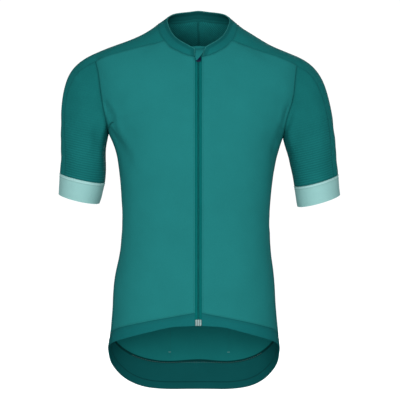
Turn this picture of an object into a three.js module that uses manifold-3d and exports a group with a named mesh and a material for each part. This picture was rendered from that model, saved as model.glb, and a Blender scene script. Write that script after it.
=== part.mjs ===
// Short-sleeved cycling jersey with a full-length zip, filled out as worn and hollow, in millimetres.
// +Z is up, the front faces -Y and the wearer's left is +X.
// The origin is on the shoulder line at the neck, where the wearer's shoulders hold it up.
import * as THREE from 'three';
import Module from 'manifold-3d';
import { mergeVertices } from 'three/addons/utils/BufferGeometryUtils.js';

// The wearer's sides, as signs of X.
const LEFT = 1;
const RIGHT = -1;
const SIDES = [LEFT, RIGHT];
const NAMED = { [LEFT]: 'left', [RIGHT]: 'right' };

// Cloth and seams.
const KNIT_WALL = 1.2;
const BAND_WALL = 1.8;
const SEAM_GAP = 0.3;
// Where four pieces meet in the narrow fold of an armpit, their seams stand a little wider.
const ARMPIT_GAP = 0.75;
const ARMPIT_REACH = 32;
// Points that round to the same fiftieth of a millimetre are one seam point.
const SAME_POINT = 50;

// The torso's section is a superellipse; 2 would be an ellipse.
const ROUND = 2.35;

// Half widths to the wearer's left and right, and depths to the front and back, down the torso.
const TORSO = [
  { z: 24, left: 58, right: 58, front: 45, back: 65 },
  { z: 8, left: 71, right: 74, front: 50, back: 68 },
  { z: -4, left: 85, right: 89, front: 55, back: 73 },
  { z: -16, left: 104, right: 108, front: 61, back: 78 },
  { z: -27, left: 122, right: 131, front: 67, back: 83 },
  { z: -39, left: 143, right: 162, front: 73, back: 88 },
  { z: -51, left: 169, right: 192, front: 79, back: 93 },
  { z: -64, left: 196, right: 205, front: 85, back: 98 },
  { z: -80, left: 205, right: 209, front: 91, back: 102 },
  { z: -107, left: 207, right: 209, front: 99, back: 108 },
  { z: -140, left: 201, right: 205, front: 106, back: 114 },
  { z: -165, left: 193, right: 198, front: 110, back: 117 },
  { z: -181, left: 185, right: 191, front: 112, back: 118 },
  { z: -200, left: 174, right: 181, front: 113.5, back: 119 },
  { z: -218, left: 164, right: 171, front: 114, back: 118.5 },
  { z: -250, left: 154, right: 160, front: 112, back: 116 },
  { z: -320, left: 142, right: 151, front: 104, back: 108 },
  { z: -378, left: 138, right: 149, front: 98, back: 102 },
  { z: -437, left: 141, right: 153, front: 100, back: 105 },
  { z: -495, left: 148, right: 164, front: 106, back: 111 },
  { z: -554, left: 151, right: 168, front: 111, back: 116 },
  { z: -600, left: 155, right: 172, front: 114, back: 118 },
  { z: -632, left: 159, right: 177, front: 116, back: 119 },
  { z: -670, left: 161, right: 178, front: 117, back: 119 },
  { z: -735, left: 160, right: 176, front: 117, back: 116 },
];

// Seams on the torso. turn is in degrees from centre front, z is the height.
const NECK_FRONT = [
  { across: 6.4, z: -66 },
  { across: 20, z: -63 },
  { across: 42, z: -53 },
  { across: 64, z: -34 },
];
const NECK_BACK = [
  { turn: 26, z: -33 },
  { turn: 44, z: -13 },
  { turn: 65, z: -2 },
  { turn: 90, z: 4 },
  { turn: 135, z: 12 },
  { turn: 180, z: 17 },
];
const SHOULDER_SEAM = {
  [LEFT]: [
    { across: 64, z: -34 },
    { across: 88, z: -42 },
    { across: 127, z: -56 },
    { across: 163, z: -68 },
    { across: 190, z: -80 },
  ],
  [RIGHT]: [
    { across: 64, z: -34 },
    { across: 98, z: -42 },
    { across: 130, z: -50 },
    { across: 166, z: -59 },
    { across: 199, z: -71 },
  ],
};
const ARMHOLE_FRONT = {
  [LEFT]: [
    { turn: 90, z: -218 },
    { turn: 78, z: -207 },
    { across: 169, z: -183 },
    { across: 175.6, z: -167 },
    { across: 182, z: -142 },
    { across: 186, z: -110 },
    { across: 190, z: -80 },
  ],
  [RIGHT]: [
    { turn: 90, z: -211 },
    { turn: 79, z: -201 },
    { across: 177, z: -183 },
    { across: 183, z: -163 },
    { across: 188, z: -130 },
    { across: 194, z: -90 },
    { across: 199, z: -71 },
  ],
};
const ARMHOLE_BACK = {
  [LEFT]: [
    { across: 190, z: -80 },
    { turn: 90, z: -61 },
    { turn: 108, z: -84 },
    { turn: 113, z: -125 },
    { turn: 110, z: -166 },
    { turn: 102, z: -198 },
    { turn: 90, z: -218 },
  ],
  [RIGHT]: [
    { across: 199, z: -71 },
    { turn: 90, z: -52 },
    { turn: 108, z: -76 },
    { turn: 113, z: -118 },
    { turn: 110, z: -160 },
    { turn: 102, z: -191 },
    { turn: 90, z: -211 },
  ],
};
// Stated for the left; on the right it rises towards the higher armpit.
const YOKE_SEAM = [
  { turn: 180, z: -96 },
  { turn: 162, z: -103 },
  { turn: 146, z: -122 },
  { turn: 134, z: -152 },
  { turn: 121, z: -190 },
  { turn: 106, z: -216 },
];
const SIDE_SEAM = [
  { turn: 76, z: -592 },
  { turn: 78, z: -520 },
  { turn: 81, z: -400 },
  { turn: 86, z: -280 },
];
const FRONT_HEM = [
  { across: 6.4, z: -577, tall: 24 },
  { turn: 12, z: -579, tall: 19.5 },
  { turn: 30, z: -590, tall: 21 },
  { turn: 48, z: -601, tall: 23 },
  { turn: 67, z: -611, tall: 24 },
  { turn: 76, z: -616, tall: 24 },
];
const TAIL_SEAM = [
  { turn: 76, z: -592 },
  { turn: 90, z: -601 },
  { turn: 105, z: -613 },
  { turn: 118, z: -628 },
  { turn: 136, z: -649 },
  { turn: 150, z: -660 },
  { turn: 163, z: -665 },
  { turn: 180, z: -662 },
];
const TAIL_HEM = [
  { turn: 76, z: -616 },
  { turn: 90, z: -627 },
  { turn: 97, z: -641 },
  { turn: 105, z: -659 },
  { turn: 116, z: -677 },
  { turn: 124, z: -690 },
  { turn: 134, z: -703 },
  { turn: 150, z: -716 },
  { turn: 165, z: -720 },
  { turn: 180, z: -720 },
];
const FRONT_EDGE = 6.4;

// The largest folds of the cloth, as soft troughs (deep > 0) or ridges on the torso.
const FOLD_RADIUS = 140;
const FOLDS = [
  { side: RIGHT, turn: 66, z: -226, long: 44, wide: 15, lean: 38, deep: 5 },
  { side: RIGHT, turn: 58, z: -204, long: 40, wide: 14, lean: 46, deep: -3 },
  { side: LEFT, turn: 68, z: -232, long: 40, wide: 15, lean: -36, deep: 4 },
  { side: RIGHT, turn: 118, z: -250, long: 60, wide: 18, lean: -30, deep: 4 },
  { side: LEFT, turn: 116, z: -246, long: 52, wide: 17, lean: 33, deep: 4 },
  { side: RIGHT, turn: 140, z: -392, long: 70, wide: 15, lean: 74, deep: 3 },
  { side: LEFT, turn: 146, z: -372, long: 62, wide: 14, lean: -70, deep: 3 },
];

// How many panel rows and columns lie between seams.
const PARTS = {
  neckFront: 6,
  neckBack: 10,
  centreBack: 5,
  shoulder: 11,
  side: 13,
  armholeFront: 7,
  sleeve: 9,
  band: 3,
};
PARTS.front = PARTS.neckFront + PARTS.shoulder;
PARTS.armholeBack = PARTS.neckBack + PARTS.centreBack;

// The collar band's top edge: turn in degrees round the neck from centre front, and its height.
const COLLAR_TOP = [
  { turn: 0, z: -53.5 },
  { turn: 46, z: -26 },
  { turn: 90, z: 13 },
  { turn: 135, z: 30 },
  { turn: 180, z: 37 },
];
const COLLAR = { wide: 60.5, front: 79, back: 63, rows: 3, bulge: 1.2 };
// How far from centre front the band ends at its top; the left end is cut on a slant.
const COLLAR_END = { [LEFT]: 13.5, [RIGHT]: 7 };

// Each sleeve's lower end and each cuff's: centre, half sizes and slant of the ring.
const SLEEVE = {
  [LEFT]: { x: 230, y: 8, z: -300, half: 44.7, deep: 53, slant: 15.3, swell: 0.93, drop: 0.24 },
  [RIGHT]: { x: 227, y: 8, z: -295.5, half: 45, deep: 53, slant: 12, swell: 1.25, drop: 0.19 },
};
const CUFF_END = {
  [LEFT]: { x: 235.2, y: 12, z: -340, half: 43, deep: 51, slant: 15.8 },
  [RIGHT]: { x: 233.5, y: 12, z: -336, half: 41, deep: 51, slant: 13.2 },
};
const RING_TILT = 6.6;
// The seam down the outside of the sleeve lies this far in front of its outermost line.
const STRIP_TURN = 41;
const CUFF_ROLL = { tall: 0.09, crest: 0.35, proud: 1.1, rest: 0.4, rows: 5 };
// How a sleeve's lines leave the armhole at its top and underarm, bulge, and reach the cuff.
const SLEEVE_RUN = { top: 0.9, under: { out: 0.25, down: 0.97 }, bulge: 0.22, arrive: 0.9 };
const SLEEVE_FOLDS = [
  { side: RIGHT, turn: 235, down: 0.3, long: 0.16, wide: 30, deep: 4 },
  { side: RIGHT, turn: 140, down: 0.34, long: 0.2, wide: 34, deep: 4 },
  { side: LEFT, turn: 228, down: 0.34, long: 0.15, wide: 30, deep: 3.5 },
  { side: LEFT, turn: 136, down: 0.3, long: 0.2, wide: 32, deep: 4 },
];

// The shoulder piece is smoothed where it turns into the sleeve, each time drawn in and then let
// out by these shares so that it keeps its size, up to a number of rows away. Between two columns
// it passes to the back, where it is let out less, so that its hollow softens.
const EASE = { times: 9, draw: 0.5, release: -0.53, backRelease: -0.36, reach: 5, from: 3, to: 8 };

// Rear pockets: rows and columns of the back panel that their panel covers, how far it stands
// off where it is sewn and more at its mouths, and in rows how far the outer mouths slope down
// and its foot stands above the tail's seam.
const POCKET = { rows: 5, firstColumn: 2, division: 8, sewn: 0.6, mouth: 3, dip: 0.8, foot: 0.01 };

// Zip, with depths measured inwards from the fronts' outer face.
const ZIP = { bottom: -575, top: -57, clear: 2 };
const TAPE = { near: 1.9, far: 13, face: 2.2, wall: 1 };
const COIL = { half: 1.5, face: 2, deep: 1.8, top: -62.4 };
const GUARD = { face: 5.3, wall: 1, bottom: -573, upper: [-66, -58, -50, -42] };
// The guard widens and curves in towards its top.
const GUARD_TURN = [
  { z: -600, radius: 260, half: 15 },
  { z: -100, radius: 220, half: 15 },
  { z: -62, radius: 90, half: 19 },
  { z: -42, radius: 62, half: 21.5 },
];
const SLIDER = { top: -55, bottom: -69, half: 4.6, face: -0.7, wall: 2.2, taper: 1.2 };
const SLIDER_BACK = { top: -55.6, bottom: -68.4, half: 3.4, face: 4.1, wall: 0.9, taper: 0.8 };
const WEDGE = { top: -55.6, bottom: -61.6, half: 1.4, face: 0.3, wall: 4.8, taper: 0.4 };
const LUG = { top: -58.6, bottom: -62.4, half: 0.8, across: 3.1, face: -2.9, wall: 3.3, taper: 0.3 };
const BOX = { top: -565, bottom: -576.6, half: 5.9, face: -1.3, wall: 2.7, taper: 0.9 };
const PULL = { face: -2.3, wall: 1.2 };
const PULL_OUTLINE = [
  { z: -76.8, half: 3.1 },
  { z: -75.4, half: 4.4 },
  { z: -73.8, half: 4.7 },
  { z: -64.9, half: 4.4 },
  { z: -63.3, half: 2.9 },
  { z: -62.9, half: 1.9 },
  { z: -59.6, half: 1.9 },
];
// How much of a bar's smaller half its corners are cut by.
const BAR_CUT = 0.28;

// The garage, a small flap that folds forward over the slider: its path from the guard
// and its edges across, down to a slanted end.
const GARAGE_WALL = 1.2;
const GARAGE_COLUMNS = 4;
const GARAGE = [
  { z: -49.6, depth: 4, left: -6.1, right: 11 },
  { z: -51.4, depth: 0.6, left: -6.1, right: 11 },
  { z: -53.2, depth: -3.4, left: -6.1, right: 10.8 },
  { z: -56, depth: -6.3, left: -6.1, right: 10.6 },
  { z: -60, depth: -7.4, left: -6.1, right: 10 },
  { z: -64, depth: -7.5, left: -6.1, right: 7.6 },
  { z: -68, depth: -7.2, left: -6, right: 4 },
  { z: -72, depth: -6.8, left: -5.8, right: 0.5 },
  { z: -75.6, depth: -6.3, left: -4.6, right: -2.6 },
];

// Colour, roughness and metalness of each finish.
const FINISHES = {
  knit: { color: 0x237d7a, roughness: 0.78 },
  shoulder: { color: 0x1b706f, roughness: 0.8 },
  rib: { color: 0x186961, roughness: 0.85 },
  band: { color: 0x1f7673, roughness: 0.75 },
  cuff: { color: 0x9bcbc8, roughness: 0.7 },
  tape: { color: 0x1c6c63, roughness: 0.8 },
  guard: { color: 0x2b7f76, roughness: 0.8 },
  navy: { color: 0x1b1f4a, roughness: 0.4 },
  mint: { color: 0xb9dcd2, roughness: 0.45 },
};

const group = new THREE.Group();

function radians(degrees) {
  return THREE.MathUtils.degToRad(degrees);
}

// Value of a cubic with end values a and b and end slopes da and db.
function cubic(a, b, da, db, t) {
  const s = 1 - t;
  return a * s * s * (1 + 2 * t) + b * t * t * (3 - 2 * t) + da * t * s * s - db * t * t * s;
}

// Slope of a column at a row, chosen so that the curve never overshoots the rows.
function slope(table, key, column, row) {
  const secant = (i) => {
    const span = table[i + 1][key] - table[i][key];
    return (table[i + 1][column] - table[i][column]) / span;
  };
  if (row === 0) return secant(0);
  if (row === table.length - 1) return secant(row - 1);
  const before = secant(row - 1);
  const after = secant(row);
  return before * after <= 0 ? 0 : (2 * before * after) / (before + after);
}

// Reads a column of a table smoothly at a value of its key column.
function read(table, key, at, column) {
  const sense = Math.sign(table[1][key] - table[0][key]);
  let row = 0;
  while (row < table.length - 2 && sense * at > sense * table[row + 1][key]) row += 1;
  const a = table[row];
  const b = table[row + 1];
  const span = b[key] - a[key];
  const t = THREE.MathUtils.clamp((at - a[key]) / span, 0, 1);
  const da = slope(table, key, column, row) * span;
  const db = slope(table, key, column, row + 1) * span;
  return cubic(a[column], b[column], da, db, t);
}

// Depth of the largest folds at a place on the torso, as a distance inwards.
function foldDepth(side, turn, z) {
  let depth = 0;
  for (const fold of FOLDS) {
    if (fold.side !== side) continue;
    const across = radians(turn - fold.turn) * FOLD_RADIUS;
    const up = z - fold.z;
    const lean = radians(fold.lean);
    const u = across * Math.cos(lean) - up * Math.sin(lean);
    const v = across * Math.sin(lean) + up * Math.cos(lean);
    depth += fold.deep * Math.exp(-((u / fold.wide) ** 2) - (v / fold.long) ** 2);
  }
  return depth;
}

// The torso's surface at a turn in degrees from centre front and a height.
function onTorso(side, turn, z) {
  const fold = foldDepth(side, turn, z);
  const half = read(TORSO, 'z', z, NAMED[side]) - fold;
  const depth = read(TORSO, 'z', z, turn < 90 ? 'front' : 'back') - fold;
  const power = 2 / ROUND;
  const sine = Math.max(Math.sin(radians(turn)), 0);
  const cosine = Math.cos(radians(turn));
  const x = side * half * sine ** power;
  const y = -Math.sign(cosine) * depth * Math.abs(cosine) ** power;
  return new THREE.Vector3(x, y, z);
}

// The turn at which the front of the torso is a given distance from the centre line.
function turnAt(side, across, z) {
  const share = Math.min(across / read(TORSO, 'z', z, NAMED[side]), 1);
  return THREE.MathUtils.radToDeg(Math.asin(share ** (ROUND / 2)));
}

function place(side, row) {
  return { turn: row.turn ?? turnAt(side, row.across, row.z), z: row.z };
}

// Splits a seam into parts of equal length on the torso, as places { turn, z }.
function seam(side, rows, parts) {
  const knots = rows.map((row) => ({ ...place(side, row), way: 0 }));
  for (let i = 1; i < knots.length; i += 1) {
    const from = onTorso(side, knots[i - 1].turn, knots[i - 1].z);
    const to = onTorso(side, knots[i].turn, knots[i].z);
    knots[i].way = knots[i - 1].way + from.distanceTo(to);
  }
  const total = knots[knots.length - 1].way;
  const fine = 200;
  const dense = [];
  for (let i = 0; i <= fine; i += 1) {
    const way = (total * i) / fine;
    dense.push({ turn: read(knots, 'way', way, 'turn'), z: read(knots, 'way', way, 'z') });
  }
  return even(dense, (spot) => onTorso(side, spot.turn, spot.z), parts);
}

// Picks parts + 1 of a dense list's spots at equal lengths along it.
function even(dense, toPoint, parts) {
  const ways = [0];
  for (let i = 1; i < dense.length; i += 1) {
    ways.push(ways[i - 1] + toPoint(dense[i]).distanceTo(toPoint(dense[i - 1])));
  }
  const total = ways[ways.length - 1];
  const picked = [];
  let i = 0;
  for (let k = 0; k <= parts; k += 1) {
    const way = (total * k) / parts;
    while (i < dense.length - 2 && ways[i + 1] < way) i += 1;
    const t = THREE.MathUtils.clamp((way - ways[i]) / (ways[i + 1] - ways[i]), 0, 1);
    const spot = {};
    for (const key of Object.keys(dense[i])) {
      spot[key] = THREE.MathUtils.lerp(dense[i][key], dense[i + 1][key], t);
    }
    picked.push(spot);
  }
  return picked;
}

// Fills a four-sided patch of the torso from its edges: along runs low and high, across first and last.
function patch(low, high, first, last) {
  const columns = low.length - 1;
  const rows = first.length - 1;
  return first.map((_, j) =>
    low.map((__, i) => {
      const u = i / columns;
      const v = j / rows;
      const spot = {};
      for (const key of ['turn', 'z']) {
        const across = (1 - v) * low[i][key] + v * high[i][key];
        const along = (1 - u) * first[j][key] + u * last[j][key];
        const corners =
          (1 - u) * (1 - v) * low[0][key] +
          u * (1 - v) * low[columns][key] +
          (1 - u) * v * high[0][key] +
          u * v * high[columns][key];
        spot[key] = across + along - corners;
      }
      return spot;
    }),
  );
}

function toPoints(side, rows) {
  return rows.map((row) => row.map((spot) => onTorso(side, spot.turn, spot.z)));
}

function reversed(list) {
  return [...list].reverse();
}

function key(point) {
  return [point.x, point.y, point.z].map((value) => Math.round(value * SAME_POINT)).join();
}

function seamGap(point) {
  const near = SIDES.some((side) => point.distanceTo(ARMPITS[side]) < ARMPIT_REACH);
  return near ? ARMPIT_GAP : SEAM_GAP;
}

// A piece of cloth: a grid of outer points, a wall and a finish. A loop's rows close on themselves.
class Cloth {
  constructor(name, rows, wall, finish, options = {}) {
    this.name = name;
    this.rows = rows;
    this.wall = wall;
    this.finish = finish;
    this.loop = options.loop ?? false;
    this.flip = options.flip ?? false;
    this.normals = this.findNormals();
  }

  at(grid, j, i) {
    const columns = this.rows[0].length;
    const row = THREE.MathUtils.clamp(j, 0, this.rows.length - 1);
    const column = this.loop ? (i + columns) % columns : THREE.MathUtils.clamp(i, 0, columns - 1);
    return grid[row][column];
  }

  findNormals() {
    return this.rows.map((row, j) =>
      row.map((_, i) => {
        const across = this.at(this.rows, j, i + 1).clone().sub(this.at(this.rows, j, i - 1));
        const along = this.at(this.rows, j + 1, i).clone().sub(this.at(this.rows, j - 1, i));
        const normal = across.cross(along).normalize();
        return this.flip ? normal.negate() : normal;
      }),
    );
  }

  onEdge(j, i) {
    const onEnd = j === 0 || j === this.rows.length - 1;
    return onEnd || (!this.loop && (i === 0 || i === this.rows[0].length - 1));
  }

  // Adds this piece's normals at its edges to a map of seam points.
  share(seams) {
    this.rows.forEach((row, j) =>
      row.forEach((point, i) => {
        if (!this.onEdge(j, i)) return;
        const sum = seams.get(key(point)) ?? new THREE.Vector3();
        seams.set(key(point), sum.add(this.normals[j][i]));
      }),
    );
  }

  take(seams) {
    this.rows.forEach((row, j) =>
      row.forEach((point, i) => {
        if (this.onEdge(j, i)) this.normals[j][i] = seams.get(key(point)).clone().normalize();
      }),
    );
  }

  // Draws the edges in, square to the seam, by half a seam's gap.
  drawnIn() {
    const lastRow = this.rows.length - 1;
    const lastColumn = this.rows[0].length - 1;
    const square = (point, next, before, after) => {
      const along = after.clone().sub(before).normalize();
      const inwards = next.clone().sub(point);
      return inwards.addScaledVector(along, -inwards.dot(along)).setLength(seamGap(point) / 2);
    };
    return this.rows.map((row, j) =>
      row.map((point, i) => {
        const moved = point.clone();
        if (j === 0 || j === lastRow) {
          const next = this.at(this.rows, j === 0 ? 1 : lastRow - 1, i);
          moved.add(square(point, next, this.at(this.rows, j, i - 1), this.at(this.rows, j, i + 1)));
        }
        if (!this.loop && (i === 0 || i === lastColumn)) {
          const next = this.at(this.rows, j, i === 0 ? 1 : lastColumn - 1);
          moved.add(square(point, next, this.at(this.rows, j - 1, i), this.at(this.rows, j + 1, i)));
        }
        return moved;
      }),
    );
  }

  build() {
    const outer = this.drawnIn();
    const inner = outer.map((row, j) =>
      row.map((point, i) => point.clone().addScaledVector(this.normals[j][i], -this.wall)),
    );
    return wallGeometry(outer, inner, this.loop);
  }
}

// Closes an outer and an inner grid into one wall.
function wallGeometry(outer, inner, loop) {
  const rows = outer.length;
  const columns = outer[0].length;
  const points = [...outer.flat(), ...inner.flat()];
  const index = (layer, j, i) => layer * rows * columns + j * columns + (i % columns);
  const faces = [];
  const quad = (a, b, c, d) => faces.push(a, b, c, a, c, d);
  const spans = loop ? columns : columns - 1;
  for (let j = 0; j < rows - 1; j += 1) {
    for (let i = 0; i < spans; i += 1) {
      quad(index(0, j, i), index(0, j, i + 1), index(0, j + 1, i + 1), index(0, j + 1, i));
      quad(index(1, j, i), index(1, j + 1, i), index(1, j + 1, i + 1), index(1, j, i + 1));
    }
  }
  for (let i = 0; i < spans; i += 1) {
    quad(index(1, 0, i), index(1, 0, i + 1), index(0, 0, i + 1), index(0, 0, i));
    const top = rows - 1;
    quad(index(0, top, i), index(0, top, i + 1), index(1, top, i + 1), index(1, top, i));
  }
  if (!loop) {
    const end = columns - 1;
    for (let j = 0; j < rows - 1; j += 1) {
      quad(index(0, j, 0), index(0, j + 1, 0), index(1, j + 1, 0), index(1, j, 0));
      quad(index(1, j, end), index(1, j + 1, end), index(0, j + 1, end), index(0, j, end));
    }
  }
  return closed(points, faces);
}

// A geometry from shared points and faces, turned so that its faces point outwards.
function closed(points, faces) {
  let volume = 0;
  for (let i = 0; i < faces.length; i += 3) {
    const [a, b, c] = [points[faces[i]], points[faces[i + 1]], points[faces[i + 2]]];
    volume += a.dot(b.clone().cross(c)) / 6;
  }
  if (volume < 0) faces.reverse();
  const geometry = new THREE.BufferGeometry().setFromPoints(points);
  geometry.setIndex(faces);
  return geometry;
}

function add(name, geometry, finish) {
  const material = new THREE.MeshStandardMaterial({ metalness: 0, ...FINISHES[finish] });
  const mesh = new THREE.Mesh(geometry, material);
  mesh.name = name;
  group.add(mesh);
}

// The yoke seam's rows, raised towards an armpit that is higher than the left one.
function yokeSeam(armpit) {
  const higher = armpit.z - ARMHOLE_FRONT[LEFT][0].z;
  return YOKE_SEAM.map((row, i) => ({ ...row, z: row.z + (higher * i) / YOKE_SEAM.length }));
}

// Places shared by the pieces that a seam joins, for one side.
function seamsOf(side) {
  const armpit = ARMHOLE_FRONT[side][0];
  const neckPoint = place(side, NECK_FRONT[NECK_FRONT.length - 1]);
  const front = seam(side, NECK_FRONT, PARTS.neckFront);
  const neckBack = seam(side, [neckPoint, ...NECK_BACK.slice(1)], PARTS.neckBack);
  const centreBack = seam(side, [NECK_BACK[NECK_BACK.length - 1], YOKE_SEAM[0]], PARTS.centreBack);
  const armholeFront = seam(side, ARMHOLE_FRONT[side], PARTS.armholeFront);
  const sideSeam = seam(side, [...SIDE_SEAM, armpit], PARTS.side);
  return {
    neckFront: front,
    neckBack,
    neckEnd: [...neckBack, ...centreBack.slice(1)],
    shoulder: seam(side, SHOULDER_SEAM[side], PARTS.shoulder),
    armholeFront,
    armholeBack: seam(side, ARMHOLE_BACK[side], PARTS.armholeBack),
    yoke: seam(side, [...yokeSeam(armpit), armpit], PARTS.shoulder),
    sideSeam,
    outerEdge: [...sideSeam, ...armholeFront.slice(1)],
    frontHem: seam(side, FRONT_HEM, PARTS.front),
    frontSeam: seam(side, FRONT_HEM.map((row) => ({ ...row, z: row.z + row.tall })), PARTS.front),
    tailSeam: seam(side, TAIL_SEAM, PARTS.shoulder),
    tailHem: seam(side, TAIL_HEM, PARTS.shoulder),
  };
}

const SEAMS = { [LEFT]: seamsOf(LEFT), [RIGHT]: seamsOf(RIGHT) };
const ARMPITS = Object.fromEntries(
  SIDES.map((side) => {
    const { turn, z } = ARMHOLE_FRONT[side][0];
    return [side, onTorso(side, turn, z)];
  }),
);

// Straight front edge beside the zip, with a place level with each place of a guide seam.
function frontEdge(side, low, high, guide) {
  const first = guide[0].z;
  const last = guide[guide.length - 1].z;
  return guide.map((spot) => {
    const z = THREE.MathUtils.mapLinear(spot.z, first, last, low, high);
    return { turn: turnAt(side, FRONT_EDGE, z), z };
  });
}

function frontRows(side) {
  const seams = SEAMS[side];
  const top = [...seams.neckFront, ...seams.shoulder.slice(1)];
  const edge = frontEdge(side, seams.frontSeam[0].z, seams.neckFront[0].z, seams.outerEdge);
  return toPoints(side, patch(seams.frontSeam, top, edge, seams.outerEdge));
}

// The shoulder part of a shoulder-and-sleeve piece, in rows from the neck out to the armhole.
function yokeRows(side) {
  const seams = SEAMS[side];
  return toPoints(side, patch(seams.neckEnd, seams.armholeBack, seams.shoulder, seams.yoke));
}

// A point of the ring at a sleeve's or cuff's end; turn 0 is outermost, 90 back and 180 inside.
function onRing(side, ring, turn) {
  const slant = radians(ring.slant);
  const tilt = radians(RING_TILT);
  const outwards = new THREE.Vector3(side * Math.cos(slant), 0, Math.sin(slant));
  const backwards = new THREE.Vector3(0, Math.cos(tilt), Math.sin(tilt));
  return new THREE.Vector3(side * ring.x, ring.y, ring.z)
    .addScaledVector(outwards, ring.half * Math.cos(radians(turn)))
    .addScaledVector(backwards, ring.deep * Math.sin(radians(turn)));
}

// How the sleeve's folds draw it in at a turn round it and a share of the way down.
function sleeveFold(side, turn, down) {
  let depth = 0;
  for (const fold of SLEEVE_FOLDS) {
    if (fold.side !== side) continue;
    const u = (turn - fold.turn) / fold.wide;
    const v = (down - fold.down) / fold.long;
    depth += fold.deep * Math.exp(-u * u - v * v);
  }
  return depth;
}

// One line down the sleeve from an armhole point to its ring.
function sleeveLine(side, start, turn, parts) {
  const ring = SLEEVE[side];
  const end = onRing(side, ring, turn);
  const reach = start.distanceTo(end);
  const { top, bottom } = ARM_SPAN[side];
  const height = THREE.MathUtils.clamp((start.z - bottom) / (top - bottom), 0, 1);
  const outer = new THREE.Vector3(side * SLEEVE_RUN.top, 0, -ring.drop);
  const under = new THREE.Vector3(side * SLEEVE_RUN.under.out, 0, -SLEEVE_RUN.under.down);
  const leave = under.lerp(outer, height).normalize();
  leave.y = SLEEVE_RUN.bulge * Math.sign(start.y) * Math.sin(Math.PI * height);
  leave.multiplyScalar(reach * THREE.MathUtils.lerp(1, ring.swell, height));
  const cuff = CUFF_END[side];
  const axis = new THREE.Vector3(side * (cuff.x - ring.x), cuff.y - ring.y, cuff.z - ring.z);
  const arrive = axis.setLength(reach * SLEEVE_RUN.arrive);
  const centre = new THREE.Vector3(side * ring.x, ring.y, 0);
  const line = [];
  for (let k = 0; k <= parts; k += 1) {
    const t = k / parts;
    const point = new THREE.Vector3();
    for (const c of ['x', 'y', 'z']) point[c] = cubic(start[c], end[c], leave[c], arrive[c], t);
    const inwards = centre.clone().setZ(point.z).sub(point).normalize();
    const fold = sleeveFold(side, turn, t) * Math.sin(Math.PI * t);
    line.push(point.addScaledVector(inwards, fold));
  }
  return line;
}

const ARM_SPAN = Object.fromEntries(
  SIDES.map((side) => {
    const heights = ARMHOLE_BACK[side].map((row) => row.z);
    return [side, { top: Math.max(...heights), bottom: Math.min(...heights) }];
  }),
);

// Rows down a sleeve from a run of armhole places, between two turns of the ring.
function sleeveRows(side, places, firstTurn, lastTurn) {
  const lines = places.map((spot, i) => {
    const turn = THREE.MathUtils.mapLinear(i, 0, places.length - 1, firstTurn, lastTurn);
    return sleeveLine(side, onTorso(side, spot.turn, spot.z), turn, PARTS.sleeve);
  });
  return lines[0].map((_, j) => lines.map((line) => line[j]));
}

// A cuff: a tube whose top edge is a small roll that stands proud.
function cuffRows(side, turns) {
  const from = SLEEVE[side];
  const to = CUFF_END[side];
  const levels = [0, CUFF_ROLL.tall * CUFF_ROLL.crest, CUFF_ROLL.tall];
  for (let k = 1; k <= CUFF_ROLL.rows; k += 1) {
    levels.push(THREE.MathUtils.lerp(CUFF_ROLL.tall, 1, k / CUFF_ROLL.rows));
  }
  return levels.map((level, k) => {
    const ring = {};
    for (const name of Object.keys(to)) ring[name] = THREE.MathUtils.lerp(from[name], to[name], level);
    const proud = k === 1 ? CUFF_ROLL.proud : CUFF_ROLL.rest;
    ring.half += proud;
    ring.deep += proud;
    return turns.map((turn) => onRing(side, ring, turn));
  });
}

// The turns of the sleeve's lines at its ring, all the way round.
function ringTurns() {
  const back = PARTS.armholeBack;
  const front = PARTS.armholeFront;
  const turns = [];
  for (let i = 0; i < back; i += 1) {
    turns.push(THREE.MathUtils.mapLinear(i, 0, back, -STRIP_TURN, 180));
  }
  for (let i = 0; i < front; i += 1) {
    turns.push(THREE.MathUtils.mapLinear(i, 0, front, 180, 360 - STRIP_TURN));
  }
  return turns;
}

// A point of the collar band's top edge.
function onCollarTop(side, turn) {
  const sine = Math.sin(radians(turn));
  const cosine = Math.cos(radians(turn));
  const depth = turn < 90 ? COLLAR.front : COLLAR.back;
  return new THREE.Vector3(
    side * COLLAR.wide * sine,
    -depth * cosine,
    read(COLLAR_TOP, 'turn', turn, 'z'),
  );
}

// One side of the collar band, from its front end to centre back, in rows from the neck seam up.
function collarHalf(side) {
  const seams = SEAMS[side];
  const low = [...seams.neckFront, ...seams.neckBack.slice(1)];
  const feet = low.map((spot) => onTorso(side, spot.turn, spot.z));
  const firstTurn = THREE.MathUtils.radToDeg(Math.asin(COLLAR_END[side] / COLLAR.wide));
  const dense = [];
  const steps = 100;
  const fineSteps = 400;
  for (let k = 0; k <= steps; k += 1) {
    dense.push({ turn: THREE.MathUtils.lerp(firstTurn, 180, k / steps) });
  }
  const fine = even(dense, (spot) => onCollarTop(side, spot.turn), fineSteps);
  let way = 0;
  const ways = feet.map((foot, i) => (way += i ? foot.distanceTo(feet[i - 1]) : 0));
  const tops = ways.map((w) => onCollarTop(side, fine[Math.round((w / way) * fineSteps)].turn));
  const rows = [];
  for (let j = 0; j <= COLLAR.rows; j += 1) {
    const t = j / COLLAR.rows;
    rows.push(
      feet.map((foot, i) => {
        const point = foot.clone().lerp(tops[i], t);
        const outwards = new THREE.Vector3(foot.x, foot.y, 0).normalize();
        return point.addScaledVector(outwards, COLLAR.bulge * Math.sin(Math.PI * t));
      }),
    );
  }
  return rows;
}

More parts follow.
